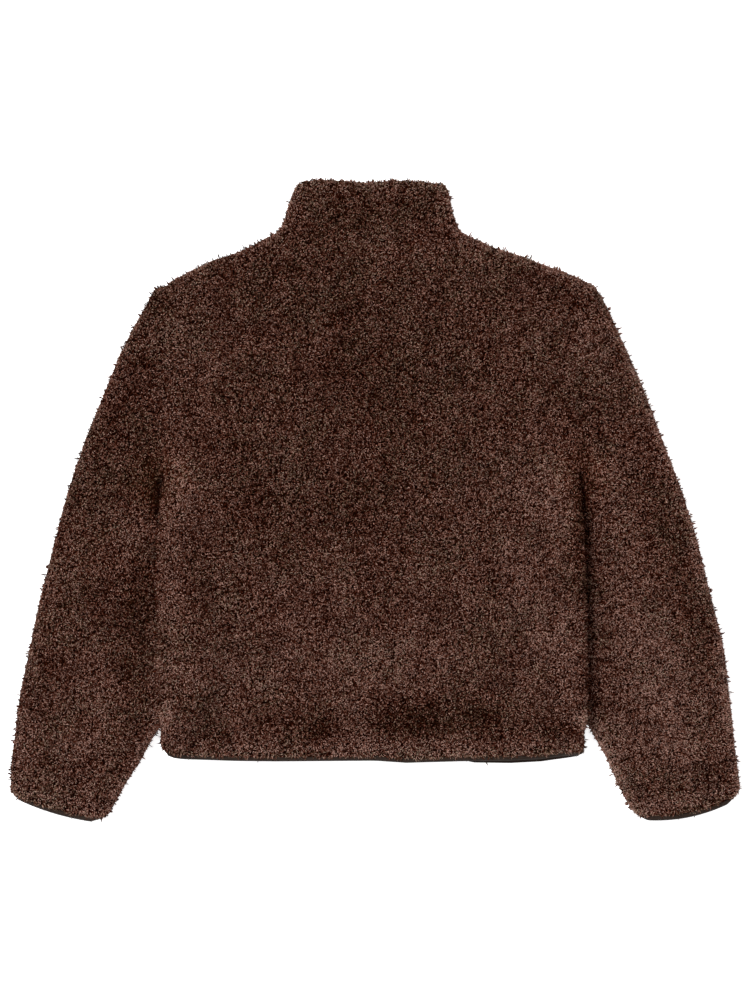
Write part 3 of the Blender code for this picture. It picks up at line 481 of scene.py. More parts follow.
def collar_plan(which):
    """Plan points of the collar's back or of one front half, as rows from the neck seam up and
    columns from the side fold."""
    base_x = BACK_NECK if which == "back" else FRONT_NECK[which == "right"]
    drop, zip_x = neck_of(which)
    base_y = neck_line(base_x, drop, zip_x)
    start = NECK_RIGHT[0] if which == "right" else NECK_LEFT[0]
    end = NECK_RIGHT[0] if which == "back" else zip_x
    share = (base_x - start) / (end - start)
    steps = np.array(FOLD_STEPS)

    def across(height):
        sides = [np.interp(height, COLLAR_SIDES["height"], COLLAR_SIDES[x]) for x in SIDE_X]
        near = sides[which == "right"]
        far = sides[1] if which == "back" else zip_x
        even = blend(near, far, share)
        even[: len(steps)] = near + np.sign(end - start) * steps
        if which == "back":
            even[-len(steps) :] = (far - steps)[::-1]
        return even

    if which == "back":
        top_y = np.interp(across(1.0), COLLAR_TOP["x"], COLLAR_TOP["y"])
    else:
        corner = COLLAR_TOP["y"][0 if which == "left" else -1]
        top_y = corner - COLLAR_FRONT_DROP * np.sin(share * np.pi / 2.0)
    rows = [blend(base_y, top_y, height) for height in COLLAR_HEIGHTS]
    rows += [top_y - step for step in EDGE_STEPS[::-1]]
    return upwards(rows, base_y, top_y, across)


# ---- Raising plan points into cloth

BODY_FOLDS = fold_lines()
BODY_CENTRE = np.array([CENTRE_X, -30.0])
COLLAR_CENTRE = np.array([CENTRE_X, 335.0])
UP, DOWN = (0.0, 1.0), (0.0, -1.0)


def raised(plan, side, folds, centre, depth, joined=True, lifted=True):
    """Outer and inner surface of one layer over its plan points. side is +1 for the upper layer
    and -1 for the lower. The centre tells which side of its folds the cloth lies on, and depth is
    the wall's thickness at each point. Within a wall's thickness of a fold, the surfaces turn down
    a quarter circle round the fold's centre. Layers that are not joined keep a seam's gap there."""
    shape = plan.shape[:-1]
    points = plan.reshape(-1, 2)
    gap, way = from_folds(points, folds, (centre - plan).reshape(-1, 2))
    level = np.clip(1.0 - gap / OUTER_ROUND, 0.0, 1.0)
    upright = np.sqrt(1.0 - level**2)
    seam = 0.0 if joined else SEAM_GAP / 2.0
    low = seam + (INNER_ROUND - seam) * upright
    inner_plan = points + way * (WALL * level)[:, None]
    outer_plan = inner_plan - way * (depth * level)[:, None]
    base = MIDDLE + (lift(points) if lifted else 0.0)
    inner = np.column_stack([inner_plan, base + side * low])
    outer = np.column_stack([outer_plan, base + side * (low + depth * upright)])
    return [outer.reshape(*shape, 3), inner.reshape(*shape, 3)]


def cloth_depth(points, edge, seams, places=HOLLOWS):
    """Wall of a panel: thinner at its free edge, over the armhole seams and in the hollows, but
    full near the armpits."""
    part = SEAM_DIP * np.clip(1.0 - distance(points, *seams) / SEAM_DIP_REACH, 0.0, 1.0) ** 2
    share = smooth((gap_to(points, ARMPITS) - ARMPIT_FULL) / ARMPIT_FADE)
    return blend(WALL, wall(points, edge, places) - part, share)


def body_panel(which):
    """Outer and inner grids of a body panel."""
    plan = body_plan(which)
    side, places = (1, HOLLOWS) if which == "back" else (-1, CREASES)
    depth = cloth_depth(plan.reshape(-1, 2), plan[0], np.array(ARMHOLE), places)
    return raised(plan, side, BODY_FOLDS, BODY_CENTRE, depth, joined=False)


def parted(grids, row, way):
    """The grids with their first row moved off its seam, square to the row's own plan line and to
    the side that way points to."""
    square = square_to(np.gradient(row, axis=0))
    shift = SEAM_GAP * square * np.sign(square @ way)[:, None]
    for grid in grids:
        grid[0, :, :2] += shift
    return grids


def wrapped(plan_of, depth_of, centre, way):
    """Outer and inner grids of a piece that runs from the zip round a side fold, across the back
    and round the other side to the zip. Its front halves share their fold column with the back."""
    parts = []
    for which, columns in ("left", np.s_[:, :0:-1]), ("back", np.s_[:]), ("right", np.s_[:, 1:]):
        plan = plan_of(which)
        side = 1 if which == "back" else -1
        grids = raised(plan, side, BODY_FOLDS, centre, depth_of(plan, which))
        parts.append([grid[columns] for grid in parted(grids, plan[0], way)])
    return [np.concatenate(grids, axis=1) for grids in zip(*parts)]


def collar_grids():
    def depth(plan, which):
        return wall(plan.reshape(-1, 2), plan[-1], HOLLOWS if which == "back" else CREASES)

    return wrapped(collar_plan, depth, COLLAR_CENTRE, UP)


def hem_band_grids():
    """The binding goes on below the panels' columns, thinner at its lower fold."""

    def plan(which):
        edge = body_plan(which)[0]
        rows = finer(np.stack([edge - (0.0, step) for step in BAND_STEPS]), BAND_STEP)
        return finer(rows.swapaxes(0, 1), PUCKER_STEP).swapaxes(0, 1)

    return wrapped(plan, lambda rows, which: band_depths(rows), BODY_CENTRE, DOWN)


def band_depths(plan):
    """Thickness of a binding: full at its seam, thinner and rounded at its folded edge, with the
    soft puckers of elastic."""
    rows, columns = plan.shape[:2]
    share = np.linspace(0.0, 1.0, rows)
    fold = np.clip((share - 0.55) / 0.45, 0.0, 1.0)
    depth = BAND * (1.0 - 0.3 * share**2) * (0.35 + 0.65 * np.sqrt(1.0 - fold**2))
    return np.repeat(depth, columns) + PUCKER * noise(plan.reshape(-1, 2), PUCKER_SIZE, 8)


def sleeve_sections(rows, folds):
    """Plan points of a sleeve's sections, each from its outer to its inner fold. Grid lines keep
    their distance from a fold, so they spread out where a section meets it at a slant."""
    outer = line(rows["outer_x"], rows["outer_y"])
    inner = line(rows["inner_x"], rows["inner_y"])
    plans = []
    for k in range(len(outer)):
        chord = inner[k] - outer[k]
        width = np.hypot(*chord)
        slants = []
        for fold in folds:
            run = fold[k + 2] - fold[k]
            slant = abs(run[0] * chord[1] - run[1] * chord[0]) / (np.hypot(*run) * width)
            slants.append(max(slant, LEAST_SLANT))
        first = np.array(FOLD_STEPS) / slants[0]
        last = width - np.array(FOLD_STEPS[::-1]) / slants[1]
        stations = np.r_[first, spaced(first[-1], last[0], SLEEVE_LINES), last] / width
        bow = rows["bow"][k] * 4.0 * stations * (1.0 - stations)
        down = np.array([chord[1], -chord[0]]) / width
        down *= np.sign(down @ (0.0, -1.0))
        plans.append(outer[k] + stations[:, None] * chord + bow[:, None] * down)
    return np.array(plans)


def tube(plan, folds, depth, way):
    """Outer and inner grids of a flattened tube: along the upper layer from the outer fold to the
    inner one and back along the lower layer, which shares both fold columns."""
    middle = plan[:, plan.shape[1] // 2, None]
    layers = [raised(plan, side, folds, middle, depth, lifted=False) for side in (1, -1)]
    upper, lower = (parted(layer, plan[0], way) for layer in layers)
    return [np.concatenate([up, down[:, -2:0:-1]], axis=1) for up, down in zip(upper, lower)]


def sleeve_folds(side):
    """Folds of one sleeve, drawn on a little past its end, with the shoulder that its outer fold
    goes on from."""
    outer, inner = (np.vstack([fold, 2.0 * fold[-1] - fold[-2]]) for fold in SLEEVE_FOLDS[side])
    start = SHOULDER_LINE[3:0:-1] if side == 0 else SHOULDER_LINE[-4:-1]
    return [np.concatenate([start, outer]), inner]


def sleeve_plan(side):
    """Plan of a sleeve: the armhole's own points, then each section."""
    first = len(EDGE_STEPS) + len(LOWER_ROWS) - 1
    armhole = body_plan("back")[first:, -side][::-1]
    return np.concatenate([armhole[None], sleeve_sections(SLEEVES[side], SLEEVE_FOLDS[side])])


def sleeve_grids(side):
    plan = finer(sleeve_plan(side), CLOTH_STEP)
    points = plan.reshape(-1, 2)
    depth = cloth_depth(points, plan[-1], [plan[0]])
    return tube(plan, sleeve_folds(side), depth, (2 * side - 1, 0.0))


def cuff_grids(side):
    """The cuff's binding goes on from the sleeve's last section to the cuff's edge."""
    last = sleeve_plan(side)[-1]
    ends = {name: CUFF[name][side : side + 1] for name in CUFF}
    edge = sleeve_sections(ends, [fold[-3:] for fold in SLEEVE_FOLDS[side]])[0]
    plan = finer(last + np.array([0.0, 0.5, 1.0])[:, None, None] * (edge - last), BAND_STEP)
    return tube(plan, sleeve_folds(side), band_depths(plan), DOWN)


# ---- Meshes

CLOTH_CREASE, HARD_CREASE = np.radians(60.0), np.radians(40.0)  # sharper bends look like creases


def piece(name, points, faces, finish, slot, maps=None, flat=False, body="jacket"):
    """A mesh from points in millimetres and an array of faces with equal numbers of corners. maps
    gives a UV for each corner of each face by its layer's name."""
    mesh = bpy.data.meshes.new(name)
    count, corners = faces.shape
    mesh.vertices.add(len(points))
    mesh.vertices.foreach_set("co", (points * MM).astype(np.float32).ravel())
    mesh.loops.add(faces.size)
    mesh.loops.foreach_set("vertex_index", faces.astype(np.int32).ravel())
    mesh.polygons.add(count)
    mesh.polygons.foreach_set("loop_start", np.arange(count, dtype=np.int32) * corners)
    for layer, uv in (maps or {}).items():
        mesh.uv_layers.new(name=layer).data.foreach_set("uv", uv.astype(np.float32).ravel())
    mesh.polygons.foreach_set("use_smooth", np.full(count, not flat))
    mesh.materials.append(finish)
    mesh.update(calc_edges=True)
    made = bpy.data.objects.new(name, mesh)
    bpy.context.scene.collection.objects.link(made)
    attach(made, body)
    return made


def outwards(points, faces):
    """Faces turned so that the volume they enclose is above nothing."""
    first, *rest = (points[faces[:, k]] for k in range(faces.shape[1]))
    total = sum((first * np.cross(a, b)).sum() for a, b in zip(rest, rest[1:]))
    return faces if total > 0.0 else faces[:, ::-1]


def quads(index):
    """Quads between neighbouring rows of a grid of corner numbers."""
    corners = [index[:-1, :-1], index[:-1, 1:], index[1:, 1:], index[1:, :-1]]
    return np.stack(corners, -1).reshape(-1, 4)


def halves(faces):
    """Each quad as two triangles."""
    return np.concatenate([faces[:, [0, 1, 2]], faces[:, [0, 2, 3]]])


def lengths(path):
    """Length along a path at each of its points."""
    return np.r_[0.0, np.cumsum(np.linalg.norm(np.diff(path, axis=0), axis=1))]


def shell(name, grids, finish, slot, closed=False):
    """A closed thin shell between an outer and an inner grid, with their edges joined. Its UV map
    runs along the grid's two ways in metres."""
    rows, columns = grids[0].shape[:2]
    points = np.concatenate([grid.reshape(-1, 3) for grid in grids])
    index = np.arange(2 * rows * columns).reshape(2, rows, columns)
    if closed:
        index = np.concatenate([index, index[:, :, :1]], axis=2)
    outer, inner = index
    parts = [quads(outer), quads(inner)[:, ::-1]]
    parts += [quads(index[:, 0])[:, ::-1], quads(index[:, -1])]
    if not closed:
        parts += [quads(index[..., 0]), quads(index[..., -1])[:, ::-1]]
    faces = outwards(points, np.concatenate(parts))
    ways = lengths(grids[0][rows // 2]), lengths(grids[0][:, columns // 2])
    uv = np.stack(np.meshgrid(*ways), -1).reshape(-1, 2) * MM
    uv = np.concatenate([uv, uv])
    made = piece(name, points, faces, finish, slot, {"cloth": uv[faces]})
    made.data.set_sharp_from_angle(angle=CLOTH_CREASE)
    return made


# ---- Pile

COMB_REACH = 9.0  # the pile lies over a free edge from this far off
EDGE_SHADE = 4.0  # and the strands this near it are darker, as painted shade
GREY_REACH = 14.0  # with more grey-brown ones among those this near
CORNER_REACH = 10.0  # tufts stand thick round the ends of a free edge
ARMPIT_REACH = 38.0  # and round an armpit
SUNK = 1.5  # most strands at a fold end so far below the outer surface, and a few stand proud
LEAN, BEND = 1.05, 0.55  # spread of a strand's own angle, and of its turn at each step
SPREAD = 0.15  # of a strand's height, and of each step's
LEAST_HEIGHT, LOWEST = 0.4, 0.25  # of a strand, and of any point above the floor
FACE_LIMIT = 190000  # triangles in one piece of pile
SHOWN_ABOVE, HIDDEN_PAST = -0.35, 14.0  # what counts as shown, and how far under the body it ends

# ---- Rims that catch the light: the shoulders with the collar's sides, the sleeves' outer folds
# and their inner ones below the body
RIMS = [fold[2:] for fold in BODY_FOLDS[2:]] + [outer for outer, _ in SLEEVE_FOLDS]
RIMS += [inner[-6:] for _, inner in SLEEVE_FOLDS]
RIM_REACH = 16.0  # the strands this near them are lighter, a painted highlight
RIM_LIGHT = (-150.0, 150.0), (0.12, 0.34)  # by so much, from the left to the right

# ---- Kinds of strand, in layers from the backing up: how far one reaches sideways, half its
# width, the shares of its height and reach at each step, how proud it stands at a fold, how rarely
# it stands as proud as that, its tilt there, how many grow on a square millimetre, and the least
# and greatest tone
WORDS = "reach half rises steps proud rare tilt density low high".split()
KINDS = {
    "undercoat":
        ((2.4, 4.2), (0.70, 1.10), (0.50, 0.20), (0.42, 0.58), 1.6, 1.0, 0.0, 0.16, 0.02, 0.25),
    "pile":
        ((2.1, 3.9), (0.38, 0.57), (0.72, 0.24), (0.36, 0.64), 5.4, 7.0, 0.0, 0.33, 0.02, 0.78),
    "long_pile":
        ((2.1, 4.0), (0.35, 0.54), (0.75, 0.25), (0.35, 0.65), 5.4, 7.0, 0.0, 0.24, 0.26, 0.98),
    "edge_tufts":
        ((0.3, 1.6), (0.5, 1.0), (0.4, 0.6), (0.3, 0.7), 5.8, 1.6, 1.5, 0.30, 0.02, 0.35),
    "pressed_pile":
        ((4.5, 7.5), (1.0, 1.6), (0.5, 0.3), (0.4, 0.6), 0.6, 1.0, 0.0, 0.09, 0.12, 0.60),
}


# ---- Growing the pile


def backing(grids):
    """The knitted backing's outer grid. The pile stands high on what lies uppermost and at the
    folds, and is pressed flat underneath."""
    outer, inner = grids
    up = (outer - inner)[..., 2] / np.maximum(np.linalg.norm(outer - inner, axis=2), 0.1)
    share = blend(0.80, 0.5, smooth((up - 0.1) / 0.7))
    for armpit in ARMPITS:
        gap = np.hypot(*np.moveaxis(outer[..., :2] - armpit, -1, 0))
        share = np.maximum(share, blend(0.97, 0.5, smooth((gap - 20.0) / 30.0)))
    return blend(inner, outer, share[..., None])


STRIDES = (0.7548776662, 0.5698402910)  # successive roots lie apart by these shares of a cell


def roots(grids, density, keep, rng):
    """Places for pile, spread over the backing by area: each root, the outer surface above it and
    the way out of the cloth. keep gives the share of them that stays."""
    outer, inner = grids
    base = backing(grids)
    a, b, c, d = outer[:-1, :-1], outer[:-1, 1:], outer[1:, 1:], outer[1:, :-1]
    area = 0.5 * np.linalg.norm(np.cross(c - a, d - b), axis=2).ravel()
    ends = np.cumsum(area)
    count = int(ends[-1] * density)
    cell = np.searchsorted(ends, (np.arange(count) + rng.random(count)) / count * ends[-1])
    r, q = np.divmod(np.minimum(cell, len(area) - 1), outer.shape[1] - 1)
    s, t = ((np.arange(count) * n + rng.random(count) * 0.1)[:, None] % 1.0 for n in STRIDES)

    def at(grid):
        low = blend(grid[r, q], grid[r, q + 1], s)
        return blend(low, blend(grid[r + 1, q], grid[r + 1, q + 1], s), t)

    root, top = at(base), at(outer)
    up = top - at(inner)
    up /= np.maximum(np.linalg.norm(up, axis=1), 0.1)[:, None]
    chosen = rng.random(count) < keep(root, up)
    return root[chosen], top[chosen], up[chosen]


def combed(points, edge):
    """Way from each plan point to a free edge near it: an arrow that is longest at the edge and
    its ends, and uneven along it."""
    away, gaps = to_lines(points, [edge])[1:]
    gap = gaps.min(axis=1)
    way = -away[np.arange(len(points)), gaps.argmin(axis=1)] / np.maximum(gap, 0.3)[:, None]
    longer = 1.0 + 1.4 * smooth(1.0 - gap_to(points, edge[[0, -1]]) / CORNER_REACH)
    uneven = 0.9 + noise(points, 5.0, 23)
    return way * (uneven * longer * smooth(1.0 - gap / COMB_REACH))[:, None]


def strands(root, top, up, comb, kind, rng):
    """Pile as narrow bent ribbons that end in points. Each leans the way of a swirl, slow noise
    turned into an angle, with an angle of its own added and its comb's way on top. From one step
    to the next it turns on by the same angle, and it rises and reaches by the kind's shares. At a
    fold most are sunk and a lone few stand proud, but near an armpit all stand proud."""
    count, plan = len(root), root[:, :2]
    swirl = 3.0 * noise(plan, 17.0, 4) + 2.6 * noise(plan, 7.0, 12)
    angle = swirl + rng.normal(0.0, LEAN, count)
    turn = rng.normal(0.0, BEND, count)
    height = np.linalg.norm(top - root, axis=1) * (1.0 + rng.normal(0.0, SPREAD, count))
    beside = smooth((0.75 - up[:, 2]) / 0.5) * smooth((up[:, 2] + 0.75) / 0.4)
    near = smooth(1.6 - 1.6 * gap_to(plan, ARMPITS) / ARMPIT_REACH)
    tuft = np.maximum(0.5 + 1.3 * noise(plan, 2.2, 17), 0.25 + near)
    lone = rng.random(count)
    proud = kind["proud"] * tuft * lone ** blend(kind["rare"], 1.0, near) - SUNK * (1.0 - near)
    height = np.maximum(height, LEAST_HEIGHT) + beside * proud
    height = np.maximum(height, LEAST_HEIGHT)
    tilt = kind["tilt"] * rng.choice([-1.0, 1.0], count)
    overhang = np.hypot(comb[:, 0], comb[:, 1])
    longer = np.minimum(0.9 * overhang * lone**4, 0.9)
    reach = rng.uniform(*kind["reach"], count) * (1.0 - 0.25 * beside + longer)
    half = rng.uniform(*kind["half"], count)
    at, path = root, [root[:, None]]
    for rise, step in zip(kind["rises"], kind["steps"]):
        way = np.column_stack([np.cos(angle) + comb[:, 0], np.sin(angle) + comb[:, 1], tilt])
        way -= (way * up).sum(1)[:, None] * up
        way /= np.maximum(np.linalg.norm(way, axis=1), 0.05)[:, None]
        uneven = rng.normal(1.0, SPREAD, count)
        at = at + up * (height * rise * uneven)[:, None] + way * (reach * step)[:, None]
        side = np.cross(up, way) * half[:, None]
        path += [(at - side)[:, None], (at + side)[:, None]]
        angle = angle + turn
    path[-2:] = [at[:, None]]
    points = np.concatenate(path, axis=1)
    points[..., 2] = np.maximum(points[..., 2], LOWEST)
    return points


def pile(name, points, shade, finish):
    """Strands as one piece, or as more where their triangles are too many, in bands along the
    garment. The UV map holds a strand's shade across, and its height from root to tip."""
    corners = points.shape[1]
    last = corners - 1
    first = [(0, 2, 1)]
    for k in range(1, last - 2, 2):
        first += [(k, k + 1, k + 3), (k, k + 3, k + 2)]
    first = np.array(first + [(last - 2, last - 1, last)])
    levels = np.array([0.03, *np.repeat(np.linspace(0.0, 1.0, last // 2 + 2)[1:-1], 2), 0.97])
    sides = np.array([0.0, *([-1.0, 1.0] * (last // 2)), 0.0])
    order = np.argsort(points[:, 0, 1])
    made = []
    groups = np.array_split(order, int(np.ceil(len(points) * len(first) / FACE_LIMIT)))
    for k, group in enumerate(groups):
        faces = (corners * np.arange(len(group))[:, None, None] + first).reshape(-1, 3)
        u = shade[group][:, None, None] + 0.0015 * sides[first]
        uv = np.stack([u, np.broadcast_to(levels[first], u.shape)], -1)
        label = name if len(groups) == 1 else f"{name}_{k + 1}"
        vertices = points[group].reshape(-1, 3)
        made.append(piece(label, vertices, faces, finish, "fleece", {"OFBake": uv}, flat=True))
    return made


def shades(plan, up, edge, low, high, rng):
    """Place of each strand's colour across the UV map. Its tone is even between low and high, moved
    by slow blotches and by the patches, some of which are painted shadow and light. Painted shade
    makes it darker on the folds' steep sides and at free edges, and a painted highlight makes it
    lighter at the rims. The left half of the map is red-brown, the right half grey-brown, and the
    grey ones come in patches."""
    # the patches and blotches move the tone; among the patches are painted shadow on the sleeves
    # beside the body's sides and painted light on the body's left side
    patch = bells(plan, PATCHES, PATCHES["tone"]) + 0.04 * noise(plan, 60.0, 3)
    patch += 0.05 * noise(plan * (1.0, 0.3), 15.0, 0) + 0.03 * noise(plan * (0.3, 1.0), 11.0, 0)
    tone = rng.uniform(low, high, len(plan)) + 0.027 + patch + 0.03 * noise(plan, 13.0, 21)
    gap = distance(plan, edge)
    rim = smooth(1.0 - distance(plan, *RIMS) / RIM_REACH)
    # painted shade: strands on the steep sides of the folds, away from the rims, and strands near a
    # free edge are darker
    tone -= 0.09 * smooth((0.65 - np.abs(up[:, 2])) / 0.5) * (1.0 - rim)
    tone -= 0.03 * smooth(1.0 - gap / EDGE_SHADE)
    # painted highlight along the rims, stronger on the right
    tone += rim * np.interp(plan[:, 0], *RIM_LIGHT)
    share = 0.2 - 0.8 * patch + 0.25 * noise(plan, 27.0, 31)
    grey = rng.random(len(plan)) < share + 0.4 * smooth(1.0 - gap / GREY_REACH)
    return 0.5 * np.clip(tone, 0.01, 0.99) + 0.5 * grey


# ---- Moulded and cast pieces


def mirrored(half):
    """A closed outline from the right half of it."""
    return half + [(-x, y) for x, y in half[::-1]]


def softened(outline, times):
    """A closed outline with its corners cut off at a quarter of each side, as often as asked."""
    points = np.array(outline, float)
    for _ in range(times):
        after = np.roll(points, -1, axis=0)
        cut = [0.75 * points + 0.25 * after, 0.25 * points + 0.75 * after]
        points = np.stack(cut, 1).reshape(-1, 2)
    return points


def drawn_in(outline, amount):
    """A closed outline moved inwards, each corner along the bisector of its two sides."""
    after = np.roll(outline, -1, axis=0)
    sides = after - outline
    first, second = square_to(np.roll(sides, 1, axis=0)), square_to(sides)
    square = (first + second) / (1.0 + (first * second).sum(1))[:, None]
    area = (outline[:, 0] * after[:, 1] - outline[:, 1] * after[:, 0]).sum()
    return outline + square * amount * np.sign(area)


def rings(outline, low, high, ease):
    """Four rings of an outline carried from low to high, drawn in at both ends by the ease."""
    outline = np.array(outline, float)
    small, rise = drawn_in(outline, ease), abs(ease)
    steps = (small, low), (outline, low + rise), (outline, high - rise), (small, high)
    return np.stack([np.column_stack([ring, np.full(len(ring), z)]) for ring, z in steps])


def capped(levels, places=((0.0, 0.0, 0.0),)):
    """Points, triangles and edge closeness of a solid through rings, closed by fans to the middle
    of its first and last ring, and repeated at each place."""
    count, corners = levels.shape[:2]
    ends = np.stack([levels[0].mean(0), levels[-1].mean(0)])
    points = np.concatenate([levels.reshape(-1, 3), ends])
    index = np.arange(count * corners).reshape(count, corners)
    index = np.concatenate([index, index[:, :1]], axis=1)
    fans = []
    for ring, tip in (index[0], len(points) - 2), (index[-1][::-1], len(points) - 1):
        fans.append(np.column_stack([np.full(corners, tip), ring[1:], ring[:-1]]))
    faces = outwards(points, np.concatenate([halves(quads(index)), *fans]))
    near = np.ones(len(points))
    near[-2:] = 0.0
    places = np.array(places, float)
    steps = len(points) * np.arange(len(places))[:, None, None]
    points = (points + places[:, None]).reshape(-1, 3)
    return points, (faces + steps).reshape(-1, 3), np.tile(near, len(places))


def holed(outer, hole):
    """Points, triangles and edge closeness of a plate with a hole: its outer rings, then those of
    the hole back again, closed into a ring."""
    levels = np.concatenate([outer, hole[::-1]])
    count, corners = levels.shape[:2]
    index = np.arange(count * corners).reshape(count, corners)
    index = np.concatenate([index, index[:, :1]], axis=1)
    index = np.concatenate([index, index[:1]])
    points = levels.reshape(-1, 3)
    return points, outwards(points, halves(quads(index))), np.ones(len(points))


def block(outline, times, place, low, high, ease):
    """A solid from an outline, softened and set at a place, between two heights."""
    return capped(rings(softened(outline, times) + place, low, high, ease))


def joined(name, parts, finish, slot, body="jacket"):
    """Several solids as one piece, with the closeness to an edge in the UV map called edge."""
    points, near = (np.concatenate([part[k] for part in parts]) for k in (0, 2))
    starts = np.cumsum([0] + [len(part[0]) for part in parts])
    faces = np.concatenate([part[1] + start for part, start in zip(parts, starts)])
    uv = np.stack([near[faces], points[faces][..., 1] * MM], -1)
    made = piece(name, points, faces, finish, slot, {"edge": uv}, body=body)
    made.data.set_sharp_from_angle(angle=HARD_CREASE)
    return made


# ---- Zip

TOOTH_PITCH = 2.9  # from one tooth to the next on the same side
TOOTH = [(-3.5, -0.50), (-0.7, -0.52), (-0.2, -0.36), (0.3, -0.62), (1.0, -0.62), (1.35, -0.25)]
TAPE_MIDDLE = TAPE_LOW + TAPE / 2.0
TAPE_LINES = (0.0, 0.25, 0.6, 1.0, 1.4, 1.8, 3.2, 5.0, 7.0, 9.0, 10.8, 11.4)


def zip_tape_grids(side):
    """Upper and lower grid of one side's tape: a woven strip with a thick bead beside the teeth,
    cut back round the slider."""
    across = np.array(TAPE_LINES)
    top = collar_plan("left")[-1, -1, 1] - 1.0  # just short of the collar's front edge
    notch_low, notch_high = (SLIDER_Y + way * (SLIDER_HALF + SEAM_GAP) for way in (-1.0, 1.0))
    low = ZIP_FOOT + BOX_LENGTH - 7.0 * across / across[-1]
    steps = np.r_[spaced(ZIP_FOOT + BOX_LENGTH, notch_low - 1.0, 72), notch_low - 0.7, notch_low]
    steps = np.r_[steps, spaced(notch_low, notch_high, 3), notch_high, notch_high + 0.7, top]
    y = np.concatenate([low[None], np.repeat(steps[:, None], len(across), axis=1)])
    notched = smooth((y - notch_low + 0.7) / 0.7) * smooth((notch_high + 0.7 - y) / 0.7)
    edge = TAPE_EDGE + (SLOT + 0.1 - TAPE_EDGE) * notched
    x = edge + (TAPE_REACH - edge) * across / across[-1]
    bead = 0.25 * np.exp(-(((across - 0.7) / 0.5) ** 2))
    margin = np.minimum(across, across[-1] - across) + 0.08
    rounded = np.sqrt(np.clip(margin / 0.5, 0.0, 1.0))
    half = (TAPE / 2.0 + bead) * rounded
    plan = np.stack([CENTRE_X + side * x, y], -1)
    return [np.dstack([plan, TAPE_MIDDLE + layer * half + 0.0 * y]) for layer in (1.0, -1.0)]


def zip_teeth():
    """Interlocked teeth, each a bar clamped on its tape's bead with a waist and a round head. The
    teeth of the two sides alternate along the centre line."""
    low = ZIP_FOOT + BOX_LENGTH + SEAM_GAP + 0.7
    high = SLIDER_Y - SLIDER_HALF - SEAM_GAP - 0.7
    half = np.array(TOOTH)
    outline = np.concatenate([half, (half * (1.0, -1.0))[::-1]])
    parts = []
    for way, start in ((1.0, low), (-1.0, low + TOOTH_PITCH / 2.0)):
        y = np.arange(start, high, TOOTH_PITCH)
        places = np.column_stack([np.full(len(y), CENTRE_X), y, np.zeros(len(y))])
        parts.append(capped(rings(outline * (way, 1.0), CHAIN_LOW, CHAIN_HIGH, 0.16), places))
    return parts


def zip_box():
    """The box that the two sides start from, with a shallow pad on its front and the pin's rib."""
    outline = [(BOX_HALF - 0.9, 0.0), (BOX_HALF, 1.2), (BOX_HALF, BOX_LENGTH - 1.8)]
    pad = mirrored([(2.2, 1.6), (2.2, 6.4)])
    low, high = BOX_LENGTH - 0.4, BOX_LENGTH + 3.4
    rib = [(1.4, low), (2.4, low), (2.4, high), (1.4, high)]
    place = (CENTRE_X, ZIP_FOOT)
    return [
        block(mirrored(outline + [(2.9, BOX_LENGTH)]), 1, place, BOX_LOW, BOX_HIGH, 0.4),
        block(pad, 2, place, BOX_LOW - 0.3, BOX_LOW + 0.4, 0.25),
        block(rib, 0, place, CHAIN_LOW - 0.1, CHAIN_HIGH + 0.1, 0.2),
    ]


def zip_slider():
    """Two plates that are widest above their middle, joined by a wedge and by rims that hold the
    teeth, with an arch on the front: a squared-off half ring swept along its own bend."""
    plate = mirrored([(3.4, -SLIDER_HALF), (4.1, 1.5), (2.6, SLIDER_HALF)])
    wedge = mirrored([(0.5, -1.0), (2.0, 4.6)])
    place = (CENTRE_X, SLIDER_Y)
    parts = [
        block(plate, 2, place, SLIDER_LOW, SLIDER_LOW + 1.1, 0.35),
        block(plate, 2, place, SLIDER_HIGH - 1.1, SLIDER_HIGH, 0.35),
        block(wedge, 1, place, SLIDER_LOW + 0.8, SLIDER_HIGH - 0.8, 0.1),
    ]
    for way in (-1.0, 1.0):
        rim = np.array([(3.0, -5.2), (3.5, -5.2), (4.1, 1.4), (3.6, 1.4)]) * (way, 1.0)
        for low in (SLIDER_LOW + 0.9, SLIDER_HIGH - 1.8):
            parts.append(block(rim, 0, place, low, low + 0.9, 0.1))
    turn = np.linspace(0.0, np.pi, 17)
    bend = (np.abs(np.cos(turn)) ** 0.5 * np.sign(np.cos(turn)), np.sin(turn) ** 0.5)
    half = ARCH_BAR / 2.0
    reach, drop = ARCH_REACH - 0.5, ARCH_DROP + 0.2 - half
    path = line(SLIDER_Y + reach * bend[0], SLIDER_LOW + 0.2 - drop * bend[1])
    square = square_to(np.gradient(path, axis=0))
    corners = softened(mirrored([(ARCH_HALF, -half), (ARCH_HALF, half)]), 1)
    levels = np.empty((len(turn), len(corners), 3))
    levels[..., 0] = CENTRE_X + corners[:, 0]
    levels[..., 1:] = path[:, None] + square[:, None] * corners[:, 1:]
    return parts + [capped(levels)]


